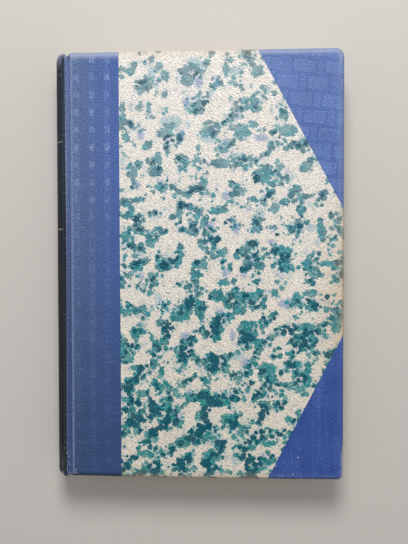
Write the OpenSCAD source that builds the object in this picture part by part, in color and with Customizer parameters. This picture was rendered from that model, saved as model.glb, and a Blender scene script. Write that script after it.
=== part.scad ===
// Hardback book in a half cloth case: cloth spine and corners, blotted paper sides.
// It lies shut on its back cover. X runs from spine to fore-edge, Y from tail to head, Z up.

/* [Cover boards] */
// Width of each board, from its joint edge to its fore-edge
board_w = 136; // [80:1:200]
// Height of each board, from tail to head
board_h = 213; // [150:1:320]
// Thickness of each board
board_t = 2.4; // [1.6:0.1:4]
// Rounding of the board's outer edges, beaten soft by use
edge_round = 1.4; // [0.3:0.1:1.4]
// Rounding of the board's edge along the joint
joint_round = 0.7; // [0.2:0.1:1.4]
// Rounding of the board's corner at the head of the fore-edge
head_corner_r = 3.4; // [1:0.1:8]
// Rounding of the board's corner at the tail of the fore-edge
tail_corner_r = 2.2; // [1:0.1:8]

/* [Pages] */
// Thickness of the block of pages
pages_t = 18; // [10:0.5:50]
// How far the boards stand out past the pages at head, tail and fore-edge
square_w = 3; // [1:0.1:6]
// Depth of the round hollow along the fore-edge of the pages
fore_hollow = 3.6; // [0.5:0.1:4.5]
// Thickness of one endpaper leaf
leaf_t = 0.12; // [0.08:0.01:0.3]
// Air between each free endpaper and the paper pasted inside its cover
leaf_gap = 0.05; // [0.02:0.01:0.3]

/* [Spine] */
// How far the rounded spine stands out from its two ridges
spine_bulge = 6.4; // [2:0.1:8]
// How far each ridge of the spine lies below the outer face of its cover
ridge_drop = 0.8; // [0.6:0.1:1.6]
// Width of the joint groove, from the spine's ridge to the cloth on the board's edge
joint_w = 3; // [3:0.1:6]
// Depth of the joint groove below the board's outer face
joint_depth = 1.5; // [0.8:0.1:1.5]
// Play between the groove's cloth and the cover that swings beside it
joint_play = 0.2; // [0.1:0.05:0.4]
// Thickness of the card that stiffens the spine
card_t = 0.8; // [0.4:0.1:1.2]
// Hollow between the spine card and the lined back of the pages
hollow_gap = 0.4; // [0.35:0.05:1.5]
// Thickness of the paper that lines the back of the pages
lining_t = 0.15; // [0.1:0.01:0.4]
// Thickness of the gauze glued over the back of the pages
mull_t = 0.25; // [0.1:0.01:0.28]
// How far the gauze reaches onto each board
mull_reach = 22; // [10:1:40]
// How far the gauze stops short of the head and the tail of the pages
mull_short = 12; // [4:1:30]
// Thickness of the bands at the head and the tail of the spine
band_d = 1.6; // [1:0.1:2.4]
// Rounding of the spine's outer corner at the head
head_cap_round = 4.4; // [0.5:0.1:5]
// Rounding of the spine's outer corner at the tail
tail_cap_round = 3; // [0.5:0.1:5]

/* [Gold lines on the spine] */
// Distance of the upper line from the head of the spine
upper_line_drop = 44.5; // [20:0.5:70]
// Distance of the lower line from the head of the spine
lower_line_drop = 88.5; // [75:0.5:140]
// Width of each line
line_w = 0.8; // [0.3:0.1:2]
// Depth of the foil pressed into the cloth
foil_t = 0.08; // [0.04:0.01:0.2]

/* [Cloth and side papers] */
// Thickness of the cloth
cloth_t = 0.3; // [0.2:0.01:0.34]
// How far the side paper stands proud of the cloth that it laps
paper_step = 0.12; // [0.08:0.01:0.3]
// Width of the spine cloth that shows on each board
quarter_w = 24.8; // [10:0.1:40]
// How far cloth runs on under the edge of the side paper
lap_w = 3; // [1:0.1:6]
// Width of the turned-in cloth and paper inside each cover
turn_in = 15; // [8:0.5:25]
// Length of the head corner's cloth along the head edge
head_cloth_w = 42; // [15:0.5:50]
// Length of the head corner's cloth down the fore-edge
head_cloth_h = 78.5; // [20:0.5:85]
// Length of the tail corner's cloth along the tail edge
tail_cloth_w = 37; // [15:0.5:50]
// Length of the tail corner's cloth up the fore-edge
tail_cloth_h = 72; // [20:0.5:85]

/* [Blots on the side papers] */
// Spacing of the blots
blot_pitch = 13; // [10:0.5:24]
// Radius of the largest blot
blot_r = 6.8; // [2:0.1:9]
// Depth of the colour in the paper
blot_t = 0.06; // [0.03:0.01:0.1]

/* [Hidden] */
$fn = 96;

cloth_blue = "#56719f";
corner_blue = "#5476b4";
paper_cream = "#ded5c6";
page_cream = "#e6dcc4";
endpaper_cream = "#dccfb2";
board_grey = "#a79a84";
gauze_white = "#d8d2c0";
lining_brown = "#b08d5e";
band_white = "#d9cfb8";
gold = "#b09a6a";
blot_dark = "#155a70";
blot_teal = "#33848f";
blot_pale = "#a7adc8";

// Stack of the shut book, from its middle outwards
pages_h = board_h - 2 * square_w;
skin_t = cloth_t + paper_step;
pastedown_t = cloth_t + leaf_t;
board_z = pages_t / 2 + leaf_t + leaf_gap + pastedown_t;
half_t = board_z + board_t + skin_t;

// Spine arc through its two ridges, with its centre on the middle plane
half_chord = half_t - ridge_drop;
spine_r = (half_chord * half_chord + spine_bulge * spine_bulge) / (2 * spine_bulge);
ridge_angle = asin(half_chord / spine_r);
card_r = spine_r - cloth_t;
hollow_r = card_r - card_t;
lining_r = hollow_r - hollow_gap;
mull_r = lining_r - lining_t;
pages_r = mull_r - mull_t;

// Joint groove, an arc between the ridge and the board
joint_half = joint_w / 2;
groove_x = spine_bulge + joint_half;
groove_r = (joint_half * joint_half + joint_depth * joint_depth) / (2 * joint_depth);
groove_z = board_z + board_t - joint_depth + groove_r;
board_x = spine_bulge + joint_w + cloth_t;

// Shoulder of the pages, under the groove
shoulder_gap = 0.15;
shoulder_z = groove_z - groove_r - cloth_t - shoulder_gap;
shoulder_slope = 1.2;
shoulder_x = spine_r - sqrt(pages_r * pages_r - shoulder_z * shoulder_z);
flat_x = shoulder_x + max(shoulder_z - pages_t / 2, 0) * shoulder_slope + leaf_t;
fore_x = board_x + board_w - square_w;

overall_w = board_x + board_w + skin_t;

// How far a cutting shape runs on past what it cuts
seam = 1;

// Chance number between 0 and 1 for column i, row j and draw k
noise_turns = [127.1, 311.7, 74.7];
noise_gain = 43758.5453;
function noise(i, j, k) = let (v = noise_gain * sin(noise_turns * [i, j, k])) v - floor(v);

// Places children, drawn from the spine's outermost line and the middle plane, in the part's frame
module in_part() {
    translate([-overall_w / 2, 0, half_t]) children();
}

// Places children, drawn on the inner face of a board from its joint edge, in the front or the back cover
module in_cover(front) {
    in_part()
        mirror([0, 0, front ? 0 : 1])
            translate([board_x, 0, board_z]) children();
}

// Drawing in X and Z, extruded along Y about the middle
module along_y(length) {
    translate([0, length / 2, 0]) rotate([90, 0, 0]) linear_extrude(length) children();
}

// Drawing in Y and Z, extruded along X from a start
module along_x(start, length) {
    translate([start, 0, 0]) rotate([90, 0, 90]) linear_extrude(length) children();
}

// What a round corner of radius r takes away from a square one at the origin
module corner_waste(r) {
    difference() {
        translate([-r, -r]) square(r + seam);
        translate([-r, -r]) circle(r);
    }
}

// Outline of a cover, grown past the board by the thickness of its skin
module cover_outline(grown, at_joint) {
    width = board_w + grown + at_joint;
    difference() {
        translate([-at_joint, -board_h / 2 - grown]) square([width, board_h + 2 * grown]);
        translate([board_w + grown, board_h / 2 + grown]) corner_waste(head_corner_r + grown);
        translate([board_w + grown, -board_h / 2 - grown])
            mirror([0, 1]) corner_waste(tail_corner_r + grown);
    }
}

// Board grown by a skin outside and at its edges, and by the turn-in's thickness inside
module grown_board(grown, inner, at_joint) {
    top = board_t + grown;
    edge_r = edge_round + grown;
    difference() {
        translate([0, 0, -inner]) linear_extrude(top + inner) cover_outline(grown, at_joint);
        along_y(board_h + 2 * edge_r) translate([board_w + grown, top]) corner_waste(edge_r);
        along_y(board_h + 2 * edge_r)
            translate([-at_joint, top]) mirror([1, 0]) corner_waste(joint_round + at_joint);
        along_x(-edge_r, board_w + grown + 2 * edge_r) {
            translate([board_h / 2 + grown, top]) corner_waste(edge_r);
            translate([-board_h / 2 - grown, top]) mirror([1, 0]) corner_waste(edge_r);
        }
    }
}

// Board without its skin
module bare_board() {
    grown_board(0, 0, 0);
}

// Inside of the turn-ins, open towards the joint
module turn_in_pocket() {
    pocket_h = board_h - 2 * turn_in;
    translate([-turn_in, -pocket_h / 2, -board_t]) cube([board_w, pocket_h, board_t]);
}

// Cloth of the spine's side of a cover, as an outline that runs on under the paper
module quarter_outline() {
    translate([-turn_in, -board_h]) square([turn_in + quarter_w + lap_w, 2 * board_h]);
}

// Corner of a cover beyond the slanted line between its two edges, moved inwards by a lap
module corner_outline(along_edge, up_edge, lap) {
    slant = sqrt(along_edge * along_edge + up_edge * up_edge);
    grow = 1 + lap * slant / (along_edge * up_edge);
    past = square_w;
    reach_x = along_edge * (grow + past / up_edge);
    reach_y = up_edge * (grow + past / along_edge);
    translate([board_w, board_h / 2])
        polygon([
            [-reach_x, past], [past, past], [past, -reach_y]
        ]);
}

module head_corner_outline(lap) {
    corner_outline(head_cloth_w, head_cloth_h, lap);
}

module tail_corner_outline(lap) {
    mirror([0, 1]) corner_outline(tail_cloth_w, tail_cloth_h, lap);
}

// Side paper as it shows, between the spine's cloth and the two corners
module side_paper_outline() {
    difference() {
        translate([quarter_w, -board_h]) square([board_w, 2 * board_h]);
        head_corner_outline(0);
        tail_corner_outline(0);
    }
}

// Upright prism on an outline, from well below a cover to well above it
module prism() {
    reach = 2 * board_t;
    translate([0, 0, -reach]) linear_extrude(2 * reach) children();
}

// Skin of cloth on a board: over its outer face, round its edges and turned in
module cloth_skin() {
    difference() {
        intersection() {
            grown_board(cloth_t, cloth_t, cloth_t);
            prism() children();
        }
        bare_board();
        turn_in_pocket();
    }
}

// Skin of the side paper, level outside, stepped over the cloth that it laps
module paper_skin() {
    difference() {
        intersection() {
            grown_board(skin_t, cloth_t, cloth_t);
            prism() side_paper_outline();
        }
        bare_board();
        turn_in_pocket();
        cloth_skin() quarter_outline();
        cloth_skin() head_corner_outline(lap_w);
        cloth_skin() tail_corner_outline(lap_w);
    }
}

// Starts of the two covers' draws by chance
front_seed = 3;
back_seed = 40;

// Bounds of the draw that puts a dark, a teal or a pale blot in a cell of the field
dark_share = [0, 0.24];
teal_share = [0.24, 0.64];
pale_share = [0.64, 0.86];

// How a blot differs from the largest one: its size, its width by its length, and its ragged edge
blot_points = 7;
size_spread = [0.45, 1];
width_spread = [0.55, 0.95];
edge_spread = [0.7, 1];
blot_wander = 0.3;
blot_row = blot_pitch * sqrt(3) / 2;

function between(span, share) = span[0] + (span[1] - span[0]) * share;

// Blot in column i and row j of a field: a ragged round that leans its own way
module blot(i, j, seed) {
    size = blot_r * between(size_spread, noise(i, j, seed + 1));
    width = size * between(width_spread, noise(i, j, seed + 2));
    wander = blot_pitch * blot_wander;
    shift = blot_pitch * (j % 2) / 2;
    translate([
        i * blot_pitch + shift + wander * between([-1, 1], noise(i, j, seed + 3)),
        j * blot_row + wander * between([-1, 1], noise(i, j, seed + 4))
    ])
        rotate(180 * noise(i, j, seed + 5))
            polygon([
                for (p = [0 : blot_points - 1])
                    let (a = 360 * p / blot_points, r = between(edge_spread, noise(i, j, seed + 6 + p)))
                    [r * size * cos(a), r * width * sin(a)]
            ]);
}

// Blots of one cover whose draw lies in the given share
module blots(seed, share) {
    first = floor((quarter_w - blot_r) / blot_pitch);
    last = ceil((board_w + blot_r) / blot_pitch);
    rows = ceil((board_h / 2 + blot_r) / blot_row);
    for (j = [-rows : rows])
        for (i = [first : last])
            if (noise(i, j, seed) >= share[0] && noise(i, j, seed) < share[1]) blot(i, j, seed);
}

// Colour in the flat of the side paper, kept off its rounded edges
module in_paper() {
    rim = edge_round + blot_t;
    translate([0, 0, board_t + skin_t - blot_t])
        linear_extrude(blot_t)
            intersection() {
                side_paper_outline();
                translate([quarter_w, rim - board_h / 2])
                    square([board_w - quarter_w - rim, board_h - 2 * rim]);
                union() children();
            }
}

// Ring between two radii about the spine's axis, to the same angle above and below the middle plane
module spine_ring(outer_r, inner_r, half_angle) {
    reach = 2 * outer_r;
    rays = 2;
    translate([spine_r, 0])
        intersection() {
            difference() {
                circle(outer_r);
                circle(inner_r);
            }
            polygon([
                [0, 0],
                for (ray = [-rays : rays])
                    let (a = half_angle * ray / rays) [-reach * cos(a), reach * sin(a)]
            ]);
        }
}

// Cloth in one joint groove, from the spine's ridge to the board
module groove_ring() {
    right_x = spine_bulge + joint_w - joint_play;
    intersection() {
        translate([groove_x, groove_z])
            difference() {
                circle(groove_r + cloth_t);
                circle(groove_r);
            }
        translate([0, groove_z - 2 * groove_r])
            square([right_x, half_chord - groove_z + 2 * groove_r]);
    }
}

// Cuts children to the spine's outline seen from above, with round corners, less an inset
module in_spine_plan(inset) {
    plan_h = board_h + 2 * (cloth_t - inset);
    cap_rounds = [head_cap_round, tail_cap_round];
    intersection() {
        children();
        translate([0, 0, -half_t])
            linear_extrude(2 * half_t)
                difference() {
                    translate([inset - seam, -plan_h / 2]) square([board_x, plan_h]);
                    for (end = [0, 1])
                        mirror([0, end])
                            translate([inset, plan_h / 2])
                                mirror([1, 0]) corner_waste(cap_rounds[end] - inset);
                }
    }
}

// The card and the foil stop short of the ridges by two thicknesses of cloth and a little play
card_play = 0.05;
card_stop = 2 * cloth_t + card_play;
card_angle = ridge_angle - card_stop / spine_r * 180 / PI;

// Foil rings of the spine, as deep as they are pressed into the cloth
module line_rings() {
    head_y = board_h / 2 + cloth_t;
    for (drop = [upper_line_drop, lower_line_drop])
        translate([0, head_y - drop, 0])
            along_y(line_w) spine_ring(spine_r, spine_r - foil_t, card_angle);
}

// Cloth over the spine and down its two grooves, turned in over the card's ends
module spine_cloth_solid() {
    spine_h = board_h + 2 * cloth_t;
    turned_h = turn_in + cloth_t;
    in_spine_plan(0)
        difference() {
            along_y(spine_h) {
                spine_ring(spine_r, card_r, ridge_angle);
                groove_ring();
                mirror([0, 1]) groove_ring();
            }
            line_rings();
        }
    difference() {
        in_spine_plan(0)
            for (end = [-1, 1])
                translate([0, end * (spine_h - turned_h) / 2, 0])
                    along_y(turned_h) spine_ring(card_r, hollow_r - cloth_t, card_angle);
        in_spine_plan(cloth_t)
            along_y(spine_h) spine_ring(spine_r, hollow_r, 2 * card_angle);
    }
}

module pages() {
    color(page_cream) in_part()
        along_y(pages_h)
            difference() {
                union() {
                    intersection() {
                        translate([spine_r, 0]) circle(pages_r);
                        translate([0, -half_t]) square([shoulder_x, 2 * half_t]);
                    }
                    polygon([
                        [shoulder_x, -shoulder_z], [flat_x, -pages_t / 2], [fore_x, -pages_t / 2],
                        [fore_x, pages_t / 2], [flat_x, pages_t / 2], [shoulder_x, shoulder_z]
                    ]);
                }
                fore_r = (pages_t * pages_t / 4 + fore_hollow * fore_hollow) / (2 * fore_hollow);
                translate([fore_x + fore_r - fore_hollow, 0]) circle(fore_r);
            }
}

// Free leaf of an endpaper, on the front or the back of the pages
module flyleaf(front) {
    color(endpaper_cream) in_part()
        mirror([0, 0, front ? 0 : 1])
            translate([flat_x, -pages_h / 2, pages_t / 2]) cube([fore_x - flat_x, pages_h, leaf_t]);
}

// Band across one end of the spine, flat where it sits on the pages and round on top
module end_band(head) {
    band_angle = asin(pages_t / 2 / pages_r);
    band_r = band_d / 2;
    color(band_white) in_part()
        mirror([0, head ? 0 : 1, 0])
            translate([spine_r, pages_h / 2, 0])
                rotate([-90, 180 - band_angle, 0])
                    rotate_extrude(angle = 2 * band_angle)
                        translate([pages_r - band_d, 0]) {
                            square([band_d, band_r]);
                            translate([band_r, band_r]) circle(band_r);
                        }
}

// Gauze on the back of the pages, between the head and tail ends that it leaves free
module spine_mull() {
    mull_angle = asin((shoulder_z - mull_t) / mull_r);
    color(gauze_white) in_part()
        along_y(pages_h - 2 * mull_short) spine_ring(mull_r, pages_r, mull_angle);
}

// Lining paper, over the gauze and onto the pages at both ends
module spine_lining() {
    lining_angle = asin(pages_t / 2 / lining_r);
    color(lining_brown) in_part()
        difference() {
            along_y(pages_h) spine_ring(lining_r, pages_r, lining_angle);
            along_y(pages_h - 2 * mull_short) spine_ring(mull_r, pages_r - seam, 2 * lining_angle);
        }
}

module spine_card() {
    color(board_grey) in_part()
        in_spine_plan(cloth_t) along_y(board_h) spine_ring(card_r, hollow_r, card_angle);
}

module spine_cloth() {
    color(cloth_blue) in_part() spine_cloth_solid();
}

module spine_gold_lines() {
    color(gold) in_part() line_rings();
}

module cover_board(front) {
    color(board_grey) in_cover(front) bare_board();
}

// Part of the gauze that is glued to a board, under the pasted paper
module mull_flange_solid() {
    flange_h = pages_h - 2 * mull_short;
    translate([0, -flange_h / 2, -mull_t]) cube([mull_reach, flange_h, mull_t]);
}

module mull_flange(front) {
    color(gauze_white) in_cover(front) mull_flange_solid();
}

// Half of an endpaper that is pasted inside a cover, over the turn-ins and the gauze
module pastedown(front) {
    color(endpaper_cream) in_cover(front)
        difference() {
            translate([0, -pages_h / 2, -pastedown_t]) cube([board_w - square_w, pages_h, pastedown_t]);
            difference() {
                translate([-seam, -board_h / 2, -cloth_t]) cube([board_w + 2 * seam, board_h, cloth_t + seam]);
                translate([0, 0, seam]) turn_in_pocket();
            }
            mull_flange_solid();
        }
}

module quarter_cloth(front) {
    color(cloth_blue) in_cover(front) cloth_skin() quarter_outline();
}

module head_corner(front) {
    color(corner_blue) in_cover(front) cloth_skin() head_corner_outline(lap_w);
}

module tail_corner(front) {
    color(corner_blue) in_cover(front) cloth_skin() tail_corner_outline(lap_w);
}

// Side paper with a shallow bed for its blots
module side_paper(front) {
    seed = front ? front_seed : back_seed;
    color(paper_cream) in_cover(front)
        difference() {
            paper_skin();
            in_paper() blots(seed, [dark_share[0], pale_share[1]]);
        }
}

module dark_blots(front) {
    seed = front ? front_seed : back_seed;
    color(blot_dark) in_cover(front) in_paper() blots(seed, dark_share);
}

// Teal blots, where no dark one covers them
module teal_blots(front) {
    seed = front ? front_seed : back_seed;
    color(blot_teal) in_cover(front) in_paper()
        difference() {
            blots(seed, teal_share);
            blots(seed, dark_share);
        }
}

// Pale blots, where no dark or teal one covers them
module pale_blots(front) {
    seed = front ? front_seed : back_seed;
    color(blot_pale) in_cover(front) in_paper()
        difference() {
            blots(seed, pale_share);
            blots(seed, [dark_share[0], teal_share[1]]);
        }
}

pages();
flyleaf(true);  // front_flyleaf
flyleaf(false);  // back_flyleaf
end_band(true);  // head_band
end_band(false);  // tail_band
spine_mull();
spine_lining();
spine_card();
spine_cloth();
spine_gold_lines();
cover_board(true);  // front_board
mull_flange(true);  // front_mull_flange
pastedown(true);  // front_pastedown
quarter_cloth(true);  // front_quarter_cloth
head_corner(true);  // front_head_corner
tail_corner(true);  // front_tail_corner
side_paper(true);  // front_side_paper
dark_blots(true);  // front_dark_blots
teal_blots(true);  // front_teal_blots
pale_blots(true);  // front_pale_blots
cover_board(false);  // back_board
mull_flange(false);  // back_mull_flange
pastedown(false);  // back_pastedown
quarter_cloth(false);  // back_quarter_cloth
head_corner(false);  // back_head_corner
tail_corner(false);  // back_tail_corner
side_paper(false);  // back_side_paper
dark_blots(false);  // back_dark_blots
teal_blots(false);  // back_teal_blots
pale_blots(false);  // back_pale_blots
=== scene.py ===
"""Looks of a hardback book in a half cloth case, laid over its CAD frame.

Lengths in this script are in millimetres until a mesh is made, and positions are in the part's own
drawing: x from the spine's outermost line, y from tail to head, z up from the book's middle plane.
"""

import math

import bmesh
import bpy
import numpy as np
from mathutils import Euler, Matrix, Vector


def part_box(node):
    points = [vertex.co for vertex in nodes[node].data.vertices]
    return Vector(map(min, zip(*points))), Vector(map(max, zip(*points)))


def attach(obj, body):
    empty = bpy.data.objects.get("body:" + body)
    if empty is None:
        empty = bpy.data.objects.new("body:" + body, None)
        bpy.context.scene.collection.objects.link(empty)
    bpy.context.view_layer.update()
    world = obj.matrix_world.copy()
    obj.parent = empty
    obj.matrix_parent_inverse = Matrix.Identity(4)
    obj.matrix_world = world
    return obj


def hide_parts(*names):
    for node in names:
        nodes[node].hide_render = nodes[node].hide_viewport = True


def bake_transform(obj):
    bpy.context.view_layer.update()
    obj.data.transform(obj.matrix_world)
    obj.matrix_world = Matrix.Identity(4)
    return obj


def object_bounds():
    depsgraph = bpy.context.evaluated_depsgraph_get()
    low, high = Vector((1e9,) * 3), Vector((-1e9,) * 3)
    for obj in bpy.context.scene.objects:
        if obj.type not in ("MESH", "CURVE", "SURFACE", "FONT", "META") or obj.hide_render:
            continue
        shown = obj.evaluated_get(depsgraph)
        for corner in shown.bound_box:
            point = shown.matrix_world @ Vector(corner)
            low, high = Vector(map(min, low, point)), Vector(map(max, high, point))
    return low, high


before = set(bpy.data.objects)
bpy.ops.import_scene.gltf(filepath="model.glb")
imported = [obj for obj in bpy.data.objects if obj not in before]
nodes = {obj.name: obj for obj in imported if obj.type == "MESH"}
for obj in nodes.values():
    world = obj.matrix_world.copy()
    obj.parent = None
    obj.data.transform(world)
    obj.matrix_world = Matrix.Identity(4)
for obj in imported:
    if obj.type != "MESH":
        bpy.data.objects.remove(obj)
cad_box = [list(corner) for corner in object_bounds()]

# Sizes of the CAD part
OVERALL_W = 1000 * (cad_box[1][0] - cad_box[0][0])
HALF_T = 500 * (cad_box[1][2] - cad_box[0][2])


def extent(name, axis):
    """Where a CAD node begins and ends along an axis, in the part's own drawing."""
    low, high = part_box(name)
    origin = (OVERALL_W / 2, 0, -HALF_T)[axis]
    return 1000 * low[axis] + origin, 1000 * high[axis] + origin


BOARD_X, board_end = extent("front_board", 0)
BOARD_Z, board_top = extent("front_board", 2)
BOARD_W, BOARD_T = board_end - BOARD_X, board_top - BOARD_Z
BOARD_H = 2 * extent("front_board", 1)[1]
CLOTH_T = extent("front_head_corner", 2)[1] - board_top
SKIN_T = extent("front_side_paper", 2)[1] - board_top
QUARTER_W = extent("front_side_paper", 0)[0] - BOARD_X
PAGES_H, PAGES_T = 2 * extent("pages", 1)[1], 2 * extent("front_flyleaf", 2)[0]
BACK_X, FORE_X = extent("pages", 0)
SHOULDER_Z, FLAT_X = extent("pages", 2)[1], extent("front_flyleaf", 0)[0]
EDGE_ROUND = 1.4
HEAD_CORNER_R, TAIL_CORNER_R = 4.1, 2.2
SPINE_BULGE, RIDGE_DROP = 6.4, 0.8
FORE_HOLLOW = 3.6
LAP_W, TURN_IN = 3.0, 15.0
HEAD_CORNER_CLOTH, TAIL_CORNER_CLOTH = (42.0, 78.5), (37.0, 72.0)
RIDGE_Z = HALF_T - RIDGE_DROP
SPINE_R = (RIDGE_Z ** 2 + SPINE_BULGE ** 2) / (2 * SPINE_BULGE)
RIDGE_ANGLE = math.asin(RIDGE_Z / SPINE_R)
PAGES_R = SPINE_R - BACK_X
SHOULDER_X = SPINE_R - math.sqrt(PAGES_R ** 2 - SHOULDER_Z ** 2)
FORE_R = (PAGES_T ** 2 / 4 + FORE_HOLLOW ** 2) / (2 * FORE_HOLLOW)
# How much the pages swell at their shoulders, as a share of their thickness
SHOULDER_FLARE = 0.115
CASE_END = BOARD_H / 2 + CLOTH_T
HEAD_CAP_R, TAIL_CAP_R, CARD_EDGE_R = 4.4, 3.0, 0.7
# The joint groove: how far its middle lies before the board and above its lower face, its radius, and the
# angle at which it begins
GROOVE_BACK, GROOVE_UP, GROOVE_R, GROOVE_START = 1.7, 2.35, 1.15, 202
# How far the lines on the spine lie below its head, and half their width
LINE_DROPS, LINE_HALF_W = (44.5, 88.5), 0.42
# Where the spine's painted shade ends on the joint, along the cloth from the board's edge
RIDGE_S = 3.95
# Skins: the strip along a cover's edge where the face is worn, the inset of the plain grid on the face, the
# radius of the turn at the lower edge, the thickness of a sheet of cloth, and how far the paper's edge over
# the cloth leans
WORN_W, GRID_INSET, TURN_R, CLOTH_SHEET_T, PAPER_SLANT = 3.2, 5.0, 0.35, 0.2, 0.0029
# How far the line that the blots' centres are measured from lies off the board's joint edge, and how far out
# a blot is felt
BLOTS_START, BLOT_REACH = 1.0, 6.0
BODY = {True: "front_cover", False: "back_cover"}
SIDE = {True: "front", False: "back"}


# Small tools
def waves(x, y, seed, pitch):
    """Smooth undulation between about -1 and 1, with the given pitch in mm."""
    rng = np.random.default_rng(seed)
    total = np.zeros_like(np.asarray(x, float))
    for _ in range(7):
        angle, phase, size = rng.uniform(0, math.tau), rng.uniform(0, math.tau), rng.uniform(0.6, 1.6)
        k = math.tau / (pitch * size)
        total += np.sin(k * (x * math.cos(angle) + y * math.sin(angle)) + phase)
    return total / 3.5


def step(x, low, high):
    """0 below low, 1 above high, and a smooth rise between them."""
    t = np.clip((np.asarray(x, float) - low) / (high - low), 0, 1)
    return t * t * (3 - 2 * t)


def to_frame(p, front=True):
    """Points of the drawing in the frame's metres. The back cover's are mirrored in the middle plane."""
    p = np.array(p, float)
    if not front:
        p[:, 2] *= -1
    return np.stack([p[:, 0] - OVERALL_W / 2, p[:, 1], p[:, 2] + HALF_T], 1) / 1000


def make_mesh(name, points, faces, front=True, facts=None):
    """An object with the given faces, and one float or vector attribute for each of the facts."""
    if not front:
        faces = [tuple(reversed(f)) for f in faces]
    mesh = bpy.data.meshes.new(name)
    mesh.from_pydata(to_frame(points, front).tolist(), [], faces)
    for key, values in (facts or {}).items():
        values = np.asarray(values, np.float32)
        kind, slot = ("FLOAT", "value") if values.ndim == 1 else ("FLOAT_VECTOR", "vector")
        mesh.attributes.new(key, kind, "POINT").data.foreach_set(slot, values.ravel())
    mesh.update()
    obj = bpy.data.objects.new(name, mesh)
    bpy.context.scene.collection.objects.link(obj)
    return obj


def grid_faces(rows, columns, first=0, closed=False):
    """Quads over a grid of rows by columns points. Closed joins the last column to the first."""
    faces = []
    for i in range(rows - 1):
        for j in range(columns if closed else columns - 1):
            a, b = first + i * columns + j, first + i * columns + (j + 1) % columns
            faces.append((a, b, b + columns, a + columns))
    return faces


def reshape(obj, change):
    """Lets change(bm) edit the object's mesh."""
    bm = bmesh.new()
    bm.from_mesh(obj.data)
    change(bm)
    bm.to_mesh(obj.data)
    bm.free()


def cut(obj, planes):
    """Keeps what lies behind each upright plane, given as a point and a normal in plan."""

    def trim(bm):
        for (x, y), (nx, ny) in planes:
            bmesh.ops.bisect_plane(
                bm, geom=bm.verts[:] + bm.edges[:] + bm.faces[:], dist=1e-6,
                plane_co=((x - OVERALL_W / 2) / 1000, y / 1000, 0), plane_no=(nx, ny, 0), clear_outer=True,
            )
        bmesh.ops.remove_doubles(bm, verts=bm.verts[:], dist=2e-6)

    reshape(obj, trim)


def face_outwards(obj):
    """Turns the normals of a closed mesh outwards."""
    reshape(obj, lambda bm: bmesh.ops.recalc_face_normals(bm, faces=bm.faces[:]))


def bake_modifiers(obj):
    """Puts what the object's modifiers make into a mesh of its own."""
    graph = bpy.context.evaluated_depsgraph_get()
    mesh = bpy.data.meshes.new_from_object(obj.evaluated_get(graph))
    old = obj.data
    obj.modifiers.clear()
    obj.data = mesh
    bpy.data.meshes.remove(old)


def set_material(obj, material):
    """Gives the object this one material."""
    obj.data.materials.clear()
    obj.data.materials.append(material)


def finish_piece(obj, material, thickness=0.0, sharp=40):
    """Gives a sheet its thickness inwards, smooth shading and a material."""
    if thickness:
        solid = obj.modifiers.new("thickness", "SOLIDIFY")
        solid.thickness = thickness / 1000
        solid.offset = -1
        solid.use_even_offset = False
        bake_modifiers(obj)
    obj.data.shade_smooth()
    obj.data.set_sharp_from_angle(angle=math.radians(sharp))
    set_material(obj, material)


# Node graphs
def linear(colour):
    """sRGB 0 to 255 to a linear RGBA value."""
    out = [c / 255 / 12.92 if c / 255 <= 0.04045 else ((c / 255 + 0.055) / 1.055) ** 2.4 for c in colour]
    return (*out, 1.0)


class Value:
    """A node's output, with the arithmetic of a number."""

    def __init__(self, graph, socket):
        self.graph, self.socket = graph, socket

    def __add__(self, other):
        return self.graph.math("ADD", self, other)

    def __sub__(self, other):
        return self.graph.math("SUBTRACT", self, other)

    def __mul__(self, other):
        return self.graph.math("MULTIPLY", self, other)

    def __abs__(self):
        return self.graph.math("ABSOLUTE", self)


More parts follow.
